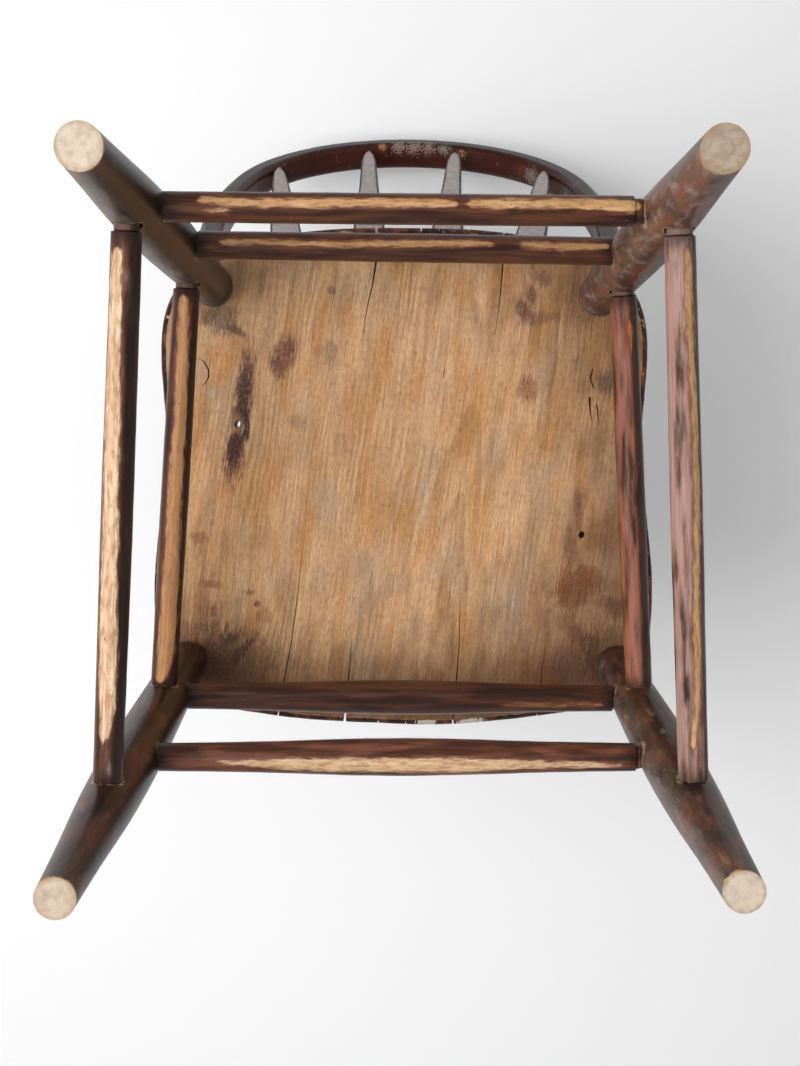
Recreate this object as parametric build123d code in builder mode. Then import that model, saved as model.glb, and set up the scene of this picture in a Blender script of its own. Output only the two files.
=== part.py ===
from build123d import *
from math import asin, ceil, cos, degrees, radians, sin, sqrt, tan
import os

# Plank-seat side chair: four turned legs and a bent bow with four flattened spindles are set in round
# sockets in one thick plank, and eight turned stretchers tie the legs together.
# Millimetres, +Z up, the sitter faces -Y and has +X on the left. The origin is on the floor, at the
# middle of the chair's bounding box.

# Overall
SEAT_TOP = 452.0            # floor to the flat rim of the seat
SEAT_WIDTH = 430.0          # across the front corners
SEAT_DEPTH = 427.0          # front edge to back edge on the centre line
BOW_TOP = 868.0             # floor to the crown of the bow

# Seat plank. Its outline is a smooth closed curve; insets are from half the width, and the distances
# along Y are from the front or the back edge.
SEAT_THICK = 32.0
FRONT_FLAT_HALF = 90.0      # half the nearly straight part of the front edge
FRONT_FLAT_SAG = 4.5
FRONT_TURN_HALF = 132.0     # where the front edge starts to turn into the corner
FRONT_TURN_BACK = 10.0
CORNER_FRONT_INSET = 43.0   # corner, at its front
CORNER_FRONT_BACK = 20.0
CORNER_SIDE_INSET = 12.0    # corner, at its side
CORNER_SIDE_BACK = 48.0
FRONT_LOBE_BACK = 95.0      # widest place, measured back from the front edge
WAIST_INSET = 11.5
WAIST_FROM_BACK = 172.0
REAR_LOBE_INSET = 8.0
REAR_LOBE_FROM_BACK = 107.0
REAR_CORNER_INSET = 19.0
REAR_CORNER_FROM_BACK = 55.0
REAR_TURN_HALF = 160.0
REAR_TURN_FROM_BACK = 25.0
REAR_ARC_HALF = 97.0
REAR_ARC_FROM_BACK = 5.5
DRILL_PAST = 1.0            # how far a through hole is drilled past the plank
LOWER_EDGE_ROUND = 6.0
UPPER_EDGE_ROUND = 8.0
DISH_DEPTH = 6.0            # the scooped seat
DISH_RADIUS = 150.0         # radius of the scoop's rim
DISH_FORWARD = 22.0         # scoop's centre, ahead of the plank's centre
KNOT_HOLE_DIA = 4.5         # two small loose knots that go right through
KNOT_HOLES = [(142.0, 47.0), (-151.0, -46.0)]

# Legs. Splay is the lean outwards, rake the lean forwards or backwards, both from upright.
FRONT_SOCKET_INSET = 30.5
FRONT_SOCKET_BACK = 57.0
FRONT_SPLAY = 4.0
FRONT_RAKE = 9.1
FRONT_FOOT_DIA = 27.0
REAR_SOCKET_INSET = 53.0
REAR_SOCKET_FROM_BACK = 54.0
REAR_SPLAY = 3.9
REAR_RAKE = 9.7
REAR_FOOT_DIA = 29.5
# The sockets were bored by eye. Each leg is this far off its place: at the socket, then at the foot.
LEG_DRIFT = {
    "front_left_leg": ((1.0, 1.0), (0.0, -3.5)),
    "front_right_leg": ((1.0, -1.0), (0.0, 3.5)),
    "rear_left_leg": ((-1.0, 3.0), (0.5, 0.0)),
    "rear_right_leg": ((-1.5, -3.5), (0.5, 0.0)),
}
ANKLE_AT = 56.0             # distances along the leg from the floor
FRONT_ANKLE_DIA = 31.5
REAR_ANKLE_DIA = 33.5
CALF_AT = 134.0
CALF_DIA = 39.6
SWELL_AT = 217.0
SWELL_DIA = 42.2
LEG_NECK_BELOW = 21.0       # below the shoulder, where the swell ends and the plain neck starts
LEG_NECK_DIA = 35.4
LEG_SHOULDER_DIA = 34.0
LEG_SHOULDER_ROUND = 1.2
LEG_TENON_DIA = 22.0
LEG_SOCKET_FLOOR = 8.0      # wood left above a leg socket
RINGS_BELOW_SHOULDER = [17.5, 13.0]
RING_DEPTH = 0.5
RING_WIDTH = 1.6
FOOT_SPARE = 12.0           # turned below the floor line, then sawn off flat

# Stretchers. The lower ones are set by their height above the floor, the upper ones by how far they
# lie below the seat. Two tenons meet in each leg there, so the second keeps clear of the first.
SIDE_LOWER_REAR_HEIGHT = 120.5
SIDE_LOWER_FRONT_HEIGHT = 132.5
FRONT_LOWER_HEIGHT = 213.5
REAR_UPPER_DROP = 162.5
FRONT_UPPER_DROP = 85.5
STRETCHER_TENON_DIA = 16.5
LOWER_TENON_WEB = 6.5       # wood left in a rear leg between the side and the rear tenon
UPPER_TENON_WEB = 2.5       # wood left in a front leg between the front and the side tenon
REAR_LOWER_HEIGHT = SIDE_LOWER_REAR_HEIGHT + STRETCHER_TENON_DIA + LOWER_TENON_WEB
SIDE_UPPER_DROP = FRONT_UPPER_DROP + STRETCHER_TENON_DIA + UPPER_TENON_WEB
STRETCHER_END_DIA = 20.8
REAR_MIDDLE_DIA = 21.2
SIDE_MIDDLE_DIA = 22.0
FRONT_MIDDLE_DIA = 28.0
SWELL_HALF = 120.0          # from a stretcher's middle to where its swell has nearly run out
SWELL_LEFT = 0.22           # how much of the swell is left there
STRETCHER_NECK = 1.8        # bare tenon between a leg and the nearest edge of the stretcher's shoulder
STRETCHER_PAST_AXIS = 5.0   # how far a tenon reaches past the middle of the leg
STRETCHER_END_ROUND = 1.0

# Bow. It is bent in one raked plane, and its feet stand in the seat beside the rear legs.
BOW_RAKE = 23.4             # lean of its plane, from upright
BOW_ROLL = 0.6              # sideways lean within its plane
BACK_OFFSET = -4.0          # the whole back is set a little off the centre line
BOW_RADIAL = 22.0           # bar size in the plane of the bow
BOW_FRONT_BACK = 28.0       # bar size across that plane
BOW_EDGE_ROUND = 7.0
BOW_FOOT_INSET = 32.0
BOW_FOOT_FROM_BACK = 65.0
BOW_BULGE = 5.0             # how much further out the bar's centre line is at its widest than at its foot
BOW_CROWN_TIGHTER = 13.0    # how much the crown's radius is under half the bow's width
BOW_CROWN_END = 16.0        # angle above level where the crown's arc meets the shoulder's
BOW_TENON_DIA = 16.0
BOW_SPARE = 16.0            # bent bar below the seat line, trimmed off flat

# Spindles: round at both ends, flattened to a blade between. The stem and the blade are set by how far
# they stand above the seat, the neck and the head by how far they lie below the bow.
SPINDLE_BASE_OFFSET = -2.0  # the row of spindle sockets is set a little off the centre line
INNER_BASE_HALF = 32.5
OUTER_BASE_HALF = 101.0
INNER_BASE_FROM_BACK = 26.0
OUTER_BASE_FROM_BACK = 33.0
INNER_TOP_HALF = 46.5
OUTER_TOP_HALF = 138.5
INNER_TOP_BEHIND = 3.0      # how far behind the middle of the bow a spindle enters it
OUTER_TOP_BEHIND = 5.5
SPINDLE_FOOT_DIA = 12.0
SPINDLE_TENON_DIA = 11.0
SPINDLE_TOP_TENON_DIA = 8.4
SPINDLE_TOP_TENON = 15.0
STEM_AT = 38.0
STEM_WIDTH = 14.5
STEM_THICK = 12.0
BLADE_AT = 98.0
BLADE_WIDTH = 28.5
BLADE_THICK = 9.6
SHAFT_WIDTH = 19.5          # part of the way up from the blade to the neck
SHAFT_THICK = 9.5
INNER_SHAFT_UP = 0.57
OUTER_SHAFT_UP = 0.71
NECK_BELOW_BOW = 34.0
NECK_WIDTH = 15.4
NECK_THICK = 9.4
HEAD_BELOW_BOW = 9.0
HEAD_WIDTH = 11.2
HEAD_THICK = 9.4
SECTION_STEP = 24.0         # longest stretch of a spindle between two of its sections
SECTION_FLAT = 0.3          # half the flat left at the narrow edges of a rounded section

# Fits, wedges and brads
TENON_FIT = 0.10            # radial clearance of every round tenon in its hole
TENON_END_GAP = 1.0         # a blind tenon stops this far short of the end of its hole
SEAT_FIT = 0.05             # between the seat and a shoulder that bears on it
BACK_SOCKET_FLOOR = 12.0    # wood left under a bow or spindle socket
WEDGE_THICK = 4.0
WEDGE_TIP = 1.4
WEDGE_FIT = 0.05
LEG_WEDGE_LONG = 17.0
LEG_WEDGE_BROAD = 17.0
BOW_WEDGE_LONG = 13.0
BOW_WEDGE_BROAD = 11.0
BRAD_DIA = 1.8
BRAD_LONG = 20.0
BRAD_SUNK = 0.6
BRAD_UP_TENON = 6.0         # where the brad crosses the spindle's tenon, above the bow's inner face
BRAD_FIT = 0.05

SEAT_UNDER = SEAT_TOP - SEAT_THICK
HALF_WIDTH = SEAT_WIDTH / 2
HALF_DEPTH = SEAT_DEPTH / 2

# The chair's depth runs from the front feet to the back of the crown, and sets where the origin lies.
front_foot_reach = FRONT_FOOT_DIA / 2 * sqrt(1 + tan(radians(FRONT_RAKE)) ** 2)
front_foot_drift = -min(foot[1] for socket, foot in LEG_DRIFT.values())
front_most = (HALF_DEPTH - FRONT_SOCKET_BACK + SEAT_UNDER * tan(radians(FRONT_RAKE))
              + front_foot_reach + front_foot_drift)
bar_up = sin(radians(BOW_RAKE))
bar_back = cos(radians(BOW_RAKE))
core_radial = BOW_RADIAL / 2 - BOW_EDGE_ROUND
core_front_back = BOW_FRONT_BACK / 2 - BOW_EDGE_ROUND
crown_reach_back = core_radial * bar_up + core_front_back * bar_back + BOW_EDGE_ROUND
crown_reach_up = core_radial * bar_back + core_front_back * bar_up + BOW_EDGE_ROUND
bow_rise = BOW_TOP - crown_reach_up - SEAT_TOP
bow_length = bow_rise / cos(radians(BOW_RAKE))
rear_most = HALF_DEPTH - BOW_FOOT_FROM_BACK + bow_rise * tan(radians(BOW_RAKE)) + crown_reach_back
SEAT_CENTRE_Y = (front_most - rear_most) / 2
FRONT_EDGE_Y = SEAT_CENTRE_Y - HALF_DEPTH
BACK_EDGE_Y = SEAT_CENTRE_Y + HALF_DEPTH


def plane_along(start, direction, across):
    """A plane that holds the line from start: its Y runs along the line, its X nearly along across."""
    square = (across - direction * across.dot(direction)).normalized()
    return Plane(origin=start, x_dir=square, z_dir=square.cross(direction))


def bore(start, direction, diameter, length):
    """Drill a round hole from start, into the part that is being made."""
    with Locations(Plane(origin=start, z_dir=direction)):
        Cylinder(diameter / 2, length, align=(Align.CENTER, Align.CENTER, Align.MIN), mode=Mode.SUBTRACT)


def wedge_shape(plane, end, long, fit):
    """Outline of a wedge or of its saw cut, from the tenon's end down to the thin tip."""
    with BuildSketch(plane) as shape:
        with BuildLine():
            Polyline((-WEDGE_THICK / 2 - fit, end), (WEDGE_THICK / 2 + fit, end),
                     (WEDGE_TIP / 2 + fit, end - long - fit), (-WEDGE_TIP / 2 - fit, end - long - fit),
                     close=True)
        make_face()
    return shape.sketch


# Where each leg stands: the socket is where its axis meets the underside of the seat.
class LegPlace:
    def __init__(self, name, side, ahead):
        socket_drift, foot_drift = LEG_DRIFT[name]
        inset = FRONT_SOCKET_INSET if ahead else REAR_SOCKET_INSET
        splay = FRONT_SPLAY if ahead else REAR_SPLAY
        rake = -FRONT_RAKE if ahead else REAR_RAKE
        socket_y = FRONT_EDGE_Y + FRONT_SOCKET_BACK if ahead else BACK_EDGE_Y - REAR_SOCKET_FROM_BACK
        true_socket = Vector(side * (HALF_WIDTH - inset), socket_y, SEAT_UNDER)
        true_foot = Vector(true_socket.X + side * SEAT_UNDER * tan(radians(splay)),
                           true_socket.Y + SEAT_UNDER * tan(radians(rake)), 0)
        self.socket = true_socket + Vector(*socket_drift)
        self.foot = true_foot + Vector(*foot_drift)
        self.up = (self.socket - self.foot).normalized()
        self.length = (self.socket - self.foot).length
        self.foot_dia = FRONT_FOOT_DIA if ahead else REAR_FOOT_DIA
        self.ankle_dia = FRONT_ANKLE_DIA if ahead else REAR_ANKLE_DIA
        outward = Vector(0, -1 if ahead else 1, 0)
        self.plane = plane_along(self.foot, self.up, outward)
        lean = sqrt(1 - self.up.Z ** 2)
        self.shoulder = self.length - (LEG_SHOULDER_DIA / 2 * lean + SEAT_FIT) / self.up.Z
        self.tenon_end = self.length + (SEAT_THICK - LEG_SOCKET_FLOOR) / self.up.Z - TENON_END_GAP

    def neck_radius(self, below):
        """The radius of the neck at a distance below the shoulder."""
        return (LEG_SHOULDER_DIA + (LEG_NECK_DIA - LEG_SHOULDER_DIA) * below / LEG_NECK_BELOW) / 2

    def at_height(self, height):
        return self.foot + self.up * (height / self.up.Z)

    def radius_at(self, height):
        """The leg's radius at a height, read off straight lines between its turned diameters."""
        along = height / self.up.Z
        stations = [(0, self.foot_dia), (ANKLE_AT, self.ankle_dia), (CALF_AT, CALF_DIA),
                    (SWELL_AT, SWELL_DIA), (self.shoulder - LEG_NECK_BELOW, LEG_NECK_DIA)]
        for (low, low_dia), (high, high_dia) in zip(stations, stations[1:]):
            if low <= along <= high:
                return (low_dia + (high_dia - low_dia) * (along - low) / (high - low)) / 2
        return LEG_NECK_DIA / 2


LEG_PLACES = {name: LegPlace(name, 1 if "left" in name else -1, "front" in name) for name in LEG_DRIFT}


# Where each stretcher runs: two legs, the height at each, and its diameter in the middle.
class StretcherPlace:
    def __init__(self, leg_a, height_a, leg_b, height_b, middle_dia):
        self.ends = [(LEG_PLACES[leg_a], height_a), (LEG_PLACES[leg_b], height_b)]
        self.legs = [leg_a, leg_b]
        self.start = self.ends[0][0].at_height(height_a)
        self.stop = self.ends[1][0].at_height(height_b)
        self.along = (self.stop - self.start).normalized()
        self.length = (self.stop - self.start).length
        self.middle_dia = middle_dia
        self.shoulders = [self.shoulder_at(place, height) for place, height in self.ends]

    def shoulder_at(self, place, height):
        """How far from a leg's axis the square shoulder clears that leaning leg by the bare neck."""
        lean = abs(self.along.dot(place.up))
        square = sqrt(1 - lean ** 2)
        return (place.radius_at(height) + STRETCHER_END_DIA / 2 * lean) / square + STRETCHER_NECK


STRETCHER_PLACES = {
    "rear_lower_stretcher": StretcherPlace(
        "rear_left_leg", REAR_LOWER_HEIGHT, "rear_right_leg", REAR_LOWER_HEIGHT, REAR_MIDDLE_DIA),
    "rear_upper_stretcher": StretcherPlace(
        "rear_left_leg", SEAT_UNDER - REAR_UPPER_DROP, "rear_right_leg", SEAT_UNDER - REAR_UPPER_DROP,
        REAR_MIDDLE_DIA),
    "front_lower_stretcher": StretcherPlace(
        "front_left_leg", FRONT_LOWER_HEIGHT, "front_right_leg", FRONT_LOWER_HEIGHT, FRONT_MIDDLE_DIA),
    "front_upper_stretcher": StretcherPlace(
        "front_left_leg", SEAT_UNDER - FRONT_UPPER_DROP, "front_right_leg",
        SEAT_UNDER - FRONT_UPPER_DROP, FRONT_MIDDLE_DIA),
}
for side_name in ("left", "right"):
    STRETCHER_PLACES[side_name + "_lower_stretcher"] = StretcherPlace(
        "rear_" + side_name + "_leg", SIDE_LOWER_REAR_HEIGHT,
        "front_" + side_name + "_leg", SIDE_LOWER_FRONT_HEIGHT, SIDE_MIDDLE_DIA)
    STRETCHER_PLACES[side_name + "_upper_stretcher"] = StretcherPlace(
        "rear_" + side_name + "_leg", SEAT_UNDER - SIDE_UPPER_DROP,
        "front_" + side_name + "_leg", SEAT_UNDER - SIDE_UPPER_DROP, SIDE_MIDDLE_DIA)

# The bow's own plane: X across the chair, Y up the rake, from where its feet meet the seat's top.
BOW_PLANE = Plane(
    origin=(BACK_OFFSET, BACK_EDGE_Y - BOW_FOOT_FROM_BACK, SEAT_TOP), x_dir=(1, 0, 0),
    z_dir=(0, -bar_back, bar_up)).rotated((0, 0, BOW_ROLL))
BOW_FOOT_HALF = HALF_WIDTH - BOW_FOOT_INSET
BOW_HALF_WIDTH = BOW_FOOT_HALF + BOW_BULGE
BOW_CROWN_RADIUS = BOW_HALF_WIDTH - BOW_CROWN_TIGHTER
crown_centre = bow_length - BOW_CROWN_RADIUS
crown_end_x = BOW_CROWN_RADIUS * cos(radians(BOW_CROWN_END))
crown_end_y = crown_centre + BOW_CROWN_RADIUS * sin(radians(BOW_CROWN_END))
shoulder_radius = (BOW_HALF_WIDTH - crown_end_x) / (1 - cos(radians(BOW_CROWN_END)))
widest_y = crown_end_y - shoulder_radius * sin(radians(BOW_CROWN_END))
side_radius = (widest_y ** 2 + BOW_BULGE ** 2) / (2 * BOW_BULGE)
foot_lean = asin(widest_y / side_radius)


# Where each spindle stands: its foot on the seat's top, its head on the bow's inner face.
class SpindlePlace:
    def __init__(self, side, base_half, base_from_back, top_half, top_behind, shaft_up):
        self.foot = Vector(SPINDLE_BASE_OFFSET + side * base_half, BACK_EDGE_Y - base_from_back, SEAT_TOP)
        inner_radius = BOW_CROWN_RADIUS - BOW_RADIAL / 2
        rise = crown_centre + sqrt(inner_radius ** 2 - top_half ** 2)
        self.head = BOW_PLANE.from_local_coords(Vector(side * top_half, rise, -top_behind))
        self.up = (self.head - self.foot).normalized()
        self.length = (self.head - self.foot).length
        self.shaft_at = BLADE_AT + (self.length - NECK_BELOW_BOW - BLADE_AT) * shaft_up
        lean = sqrt(1 - self.up.Z ** 2)
        self.shoulder = (SPINDLE_FOOT_DIA / 2 * lean + SEAT_FIT) / self.up.Z
        self.seat_tenon = (SEAT_THICK - BACK_SOCKET_FLOOR) / self.up.Z - TENON_END_GAP
        brad_centre = self.head + self.up * BRAD_UP_TENON
        self.brad_in = BOW_PLANE.z_dir
        self.brad_head = brad_centre - self.brad_in * (BOW_FRONT_BACK / 2 - top_behind - BRAD_SUNK)

    def section(self, along):
        """The plane across the spindle at a distance up from the seat, X across the chair."""
        square = (Vector(1, 0, 0) - self.up * self.up.X).normalized()
        return Plane(origin=self.foot + self.up * along, x_dir=square, z_dir=self.up)


SPINDLE_PLACES = {}
for side_name, side in (("left", 1), ("right", -1)):
    SPINDLE_PLACES["outer_" + side_name + "_spindle"] = SpindlePlace(
        side, OUTER_BASE_HALF, OUTER_BASE_FROM_BACK, OUTER_TOP_HALF, OUTER_TOP_BEHIND, OUTER_SHAFT_UP)
    SPINDLE_PLACES["inner_" + side_name + "_spindle"] = SpindlePlace(
        side, INNER_BASE_HALF, INNER_BASE_FROM_BACK, INNER_TOP_HALF, INNER_TOP_BEHIND, INNER_SHAFT_UP)


# Each foot of the bow: where its centre line crosses the seat's top, and the way its tenon points.
def bow_foot(side):
    point = BOW_PLANE.from_local_coords(Vector(side * BOW_FOOT_HALF, 0, 0))
    up = BOW_PLANE.x_dir * side * sin(foot_lean) + BOW_PLANE.y_dir * cos(foot_lean)
    return point + up * ((SEAT_TOP - point.Z) / up.Z), up


BOW_TENON_LONG = (SEAT_THICK - BACK_SOCKET_FLOOR) / cos(radians(BOW_RAKE)) - TENON_END_GAP


def make_seat():
    """One plank, scooped on top, with sockets for the legs below and for the back above."""
    half_outline = [
        (FRONT_FLAT_HALF, FRONT_EDGE_Y + FRONT_FLAT_SAG),
        (FRONT_TURN_HALF, FRONT_EDGE_Y + FRONT_TURN_BACK),
        (HALF_WIDTH - CORNER_FRONT_INSET, FRONT_EDGE_Y + CORNER_FRONT_BACK),
        (HALF_WIDTH - CORNER_SIDE_INSET, FRONT_EDGE_Y + CORNER_SIDE_BACK),
        (HALF_WIDTH, FRONT_EDGE_Y + FRONT_LOBE_BACK),
        (HALF_WIDTH - WAIST_INSET, BACK_EDGE_Y - WAIST_FROM_BACK),
        (HALF_WIDTH - REAR_LOBE_INSET, BACK_EDGE_Y - REAR_LOBE_FROM_BACK),
        (HALF_WIDTH - REAR_CORNER_INSET, BACK_EDGE_Y - REAR_CORNER_FROM_BACK),
        (REAR_TURN_HALF, BACK_EDGE_Y - REAR_TURN_FROM_BACK),
        (REAR_ARC_HALF, BACK_EDGE_Y - REAR_ARC_FROM_BACK),
    ]
    other_half = [(-x, y) for x, y in reversed(half_outline)]
    outline = [(0, FRONT_EDGE_Y)] + half_outline + [(0, BACK_EDGE_Y)] + other_half
    dish_ball = (DISH_RADIUS ** 2 + DISH_DEPTH ** 2) / (2 * DISH_DEPTH)
    with BuildPart() as seat:
        with BuildSketch(Plane.XY.offset(SEAT_UNDER)):
            with BuildLine():
                Spline(*outline, periodic=True)
            make_face()
        extrude(amount=SEAT_THICK)
        fillet(seat.edges().group_by(Axis.Z)[0], LOWER_EDGE_ROUND)
        fillet(seat.edges().group_by(Axis.Z)[-1], UPPER_EDGE_ROUND)
        with Locations((0, SEAT_CENTRE_Y - DISH_FORWARD, SEAT_TOP - DISH_DEPTH + dish_ball)):
            Sphere(dish_ball, mode=Mode.SUBTRACT)
        for place in LEG_PLACES.values():
            reach = (SEAT_THICK - LEG_SOCKET_FLOOR) / place.up.Z
            bore(place.socket - place.up * SEAT_THICK, place.up,
                 LEG_TENON_DIA + 2 * TENON_FIT, SEAT_THICK + reach)
        for place in SPINDLE_PLACES.values():
            reach = (SEAT_THICK - BACK_SOCKET_FLOOR) / place.up.Z
            bore(place.foot + place.up * SEAT_THICK, -place.up,
                 SPINDLE_TENON_DIA + 2 * TENON_FIT, SEAT_THICK + reach)
        for side in (1, -1):
            point, up = bow_foot(side)
            bore(point + up * SEAT_THICK, -up, BOW_TENON_DIA + 2 * TENON_FIT,
                 SEAT_THICK + BOW_TENON_LONG + TENON_END_GAP)
        for x, y in KNOT_HOLES:
            bore(Vector(x, SEAT_CENTRE_Y + y, SEAT_UNDER - DRILL_PAST), Vector(0, 0, 1),
                 KNOT_HOLE_DIA, SEAT_THICK + 2 * DRILL_PAST)
    return seat


def make_leg(name, place):
    """A turned leg: swelled at mid height, two scored rings below the shoulder, foot sawn flat."""
    scored_rings = []
    for below in RINGS_BELOW_SHOULDER:
        for aside, depth in ((RING_WIDTH / 2, 0), (0, RING_DEPTH), (-RING_WIDTH / 2, 0)):
            scored_rings.append((place.neck_radius(below + aside) - depth, place.shoulder - below - aside))
    with BuildPart() as leg:
        with BuildSketch(place.plane):
            with BuildLine():
                Spline((place.foot_dia / 2, -FOOT_SPARE), (place.ankle_dia / 2, ANKLE_AT),
                       (CALF_DIA / 2, CALF_AT), (SWELL_DIA / 2, SWELL_AT),
                       (LEG_NECK_DIA / 2, place.shoulder - LEG_NECK_BELOW))
                Polyline((LEG_NECK_DIA / 2, place.shoulder - LEG_NECK_BELOW), *scored_rings,
                         (LEG_SHOULDER_DIA / 2, place.shoulder - LEG_SHOULDER_ROUND),
                         (LEG_SHOULDER_DIA / 2 - LEG_SHOULDER_ROUND, place.shoulder),
                         (LEG_TENON_DIA / 2, place.shoulder), (LEG_TENON_DIA / 2, place.tenon_end),
                         (0, place.tenon_end), (0, -FOOT_SPARE), (place.foot_dia / 2, -FOOT_SPARE))
            make_face()
        revolve(axis=Axis(place.foot, place.up))
        split(bisect_by=Plane.XY, keep=Keep.TOP)
        for stretcher in STRETCHER_PLACES.values():
            for leg_name, start, inwards in zip(
                    stretcher.legs, (stretcher.start, stretcher.stop),
                    (stretcher.along, -stretcher.along)):
                if leg_name == name:
                    bore(start + inwards * SWELL_DIA, -inwards, STRETCHER_TENON_DIA + 2 * TENON_FIT,
                         SWELL_DIA + STRETCHER_PAST_AXIS + TENON_END_GAP)
        saw_cut = wedge_shape(place.plane, place.tenon_end, LEG_WEDGE_LONG, WEDGE_FIT)
        extrude(saw_cut, amount=LEG_TENON_DIA, both=True, mode=Mode.SUBTRACT)
    return leg


def make_stretcher(place):
    """A turned bar with a round tenon at each end, a little thicker in the middle."""
    end_radius = STRETCHER_END_DIA / 2
    tenon_radius = STRETCHER_TENON_DIA / 2
    swell_radius = end_radius + (place.middle_dia - STRETCHER_END_DIA) / 2 * SWELL_LEFT
    low = place.shoulders[0]
    high = place.length - place.shoulders[1]
    middle = place.length / 2
    with BuildPart() as stretcher:
        with BuildSketch(plane_along(place.start, place.along, Vector(0, 0, 1))):
            with BuildLine():
                Spline((end_radius, low + STRETCHER_END_ROUND), (swell_radius, middle - SWELL_HALF),
                       (place.middle_dia / 2, middle), (swell_radius, middle + SWELL_HALF),
                       (end_radius, high - STRETCHER_END_ROUND))
                Polyline((end_radius, high - STRETCHER_END_ROUND),
                         (end_radius - STRETCHER_END_ROUND, high), (tenon_radius, high),
                         (tenon_radius, place.length + STRETCHER_PAST_AXIS),
                         (0, place.length + STRETCHER_PAST_AXIS), (0, -STRETCHER_PAST_AXIS),
                         (tenon_radius, -STRETCHER_PAST_AXIS), (tenon_radius, low),
                         (end_radius - STRETCHER_END_ROUND, low), (end_radius, low + STRETCHER_END_ROUND))
            make_face()
        revolve(axis=Axis(place.start, place.along))
    return stretcher


def make_bow():
    """One bar bent in its plane: a round crown, gently curved shoulders and sides, two round tenons."""
    with BuildPart() as bow:
        side_turn = degrees(asin((widest_y + BOW_SPARE) / side_radius))
        side_centre = BOW_HALF_WIDTH - side_radius
        shoulder_centre = BOW_HALF_WIDTH - shoulder_radius
        with BuildLine(BOW_PLANE) as bar_line:
            CenterArc((side_centre, widest_y), side_radius, -side_turn, side_turn)
            CenterArc((shoulder_centre, widest_y), shoulder_radius, 0, BOW_CROWN_END)
            CenterArc((0, crown_centre), BOW_CROWN_RADIUS, BOW_CROWN_END, 180 - 2 * BOW_CROWN_END)
            CenterArc((-shoulder_centre, widest_y), shoulder_radius, 180 - BOW_CROWN_END, BOW_CROWN_END)
            CenterArc((-side_centre, widest_y), side_radius, 180, side_turn)
        bar_start = Plane(origin=bar_line.line @ 0, x_dir=BOW_PLANE.z_dir, z_dir=bar_line.line % 0)
        with BuildSketch(bar_start):
            RectangleRounded(BOW_FRONT_BACK, BOW_RADIAL, BOW_EDGE_ROUND)
        sweep(path=bar_line.line)
        split(bisect_by=Plane.XY.offset(SEAT_TOP + SEAT_FIT), keep=Keep.TOP)
        for side in (1, -1):
            point, up = bow_foot(side)
            with Locations(Plane(origin=point + up * BOW_RADIAL / 2, z_dir=-up)):
                Cylinder(BOW_TENON_DIA / 2, BOW_TENON_LONG + BOW_RADIAL / 2,
                         align=(Align.CENTER, Align.CENTER, Align.MIN))
            saw_cut = wedge_shape(plane_along(point, -up, BOW_PLANE.z_dir), BOW_TENON_LONG,
                                  BOW_WEDGE_LONG, WEDGE_FIT)
            extrude(saw_cut, amount=BOW_TENON_DIA, both=True, mode=Mode.SUBTRACT)
        for place in SPINDLE_PLACES.values():
            bore(place.head - place.up * BOW_RADIAL, place.up, SPINDLE_TOP_TENON_DIA + 2 * TENON_FIT,
                 BOW_RADIAL + SPINDLE_TOP_TENON + TENON_END_GAP)
            bore(place.brad_head - place.brad_in * BRAD_LONG, place.brad_in, BRAD_DIA + 2 * BRAD_FIT,
                 2 * BRAD_LONG + BRAD_FIT)
    return bow


def even_taper(points, step):
    """(distance, size) points every step or less, on a curve that doesn't swell or pinch between points."""
    rates = [(size_b - size_a) / (b - a) for (a, size_a), (b, size_b) in zip(points, points[1:])]
    slopes = [rates[0]]
    for before, after in zip(rates, rates[1:]):
        slopes.append(2 * before * after / (before + after) if before * after > 0 else 0)
    slopes.append(rates[-1])
    sizes = [points[0]]
    for (a, size_a), (b, size_b), slope_a, slope_b in zip(points, points[1:], slopes, slopes[1:]):
        count = ceil((b - a) / step)
        for i in range(1, count + 1):
            t = i / count
            rise = size_a + (size_b - size_a) * (3 * t ** 2 - 2 * t ** 3)
            lean = slope_a * (t ** 3 - 2 * t ** 2 + t) + slope_b * (t ** 3 - t ** 2)
            sizes.append((a + (b - a) * t, rise + lean * (b - a)))
    return sizes


def make_spindle(place):
    """A flattened spindle: round foot, slim stem, broad low blade that tapers evenly up to its head."""
    stations = [
        (place.shoulder, SPINDLE_FOOT_DIA, SPINDLE_FOOT_DIA),
        (STEM_AT, STEM_WIDTH, STEM_THICK),
        (BLADE_AT, BLADE_WIDTH, BLADE_THICK),
        (place.shaft_at, SHAFT_WIDTH, SHAFT_THICK),
        (place.length - NECK_BELOW_BOW, NECK_WIDTH, NECK_THICK),
        (place.length - HEAD_BELOW_BOW, HEAD_WIDTH, HEAD_THICK),
    ]
    widths = even_taper([(along, width) for along, width, thick in stations], SECTION_STEP)
    thicknesses = even_taper([(along, thick) for along, width, thick in stations], SECTION_STEP)
    with BuildPart() as spindle:
        for (along, width), (along, thick) in zip(widths, thicknesses):
            with BuildSketch(place.section(along)):
                RectangleRounded(width, thick, min(width, thick) / 2 - SECTION_FLAT)
        loft()
        with Locations(place.section(-place.seat_tenon)):
            Cylinder(SPINDLE_TENON_DIA / 2, place.seat_tenon + STEM_AT / 2,
                     align=(Align.CENTER, Align.CENTER, Align.MIN))
        with Locations(place.section(place.length - NECK_BELOW_BOW)):
            Cylinder(SPINDLE_TOP_TENON_DIA / 2, NECK_BELOW_BOW + SPINDLE_TOP_TENON,
                     align=(Align.CENTER, Align.CENTER, Align.MIN))
        bore(place.brad_head - place.brad_in * BRAD_LONG, place.brad_in, BRAD_DIA + 2 * BRAD_FIT,
             2 * BRAD_LONG + BRAD_FIT)
    return spindle


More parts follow.
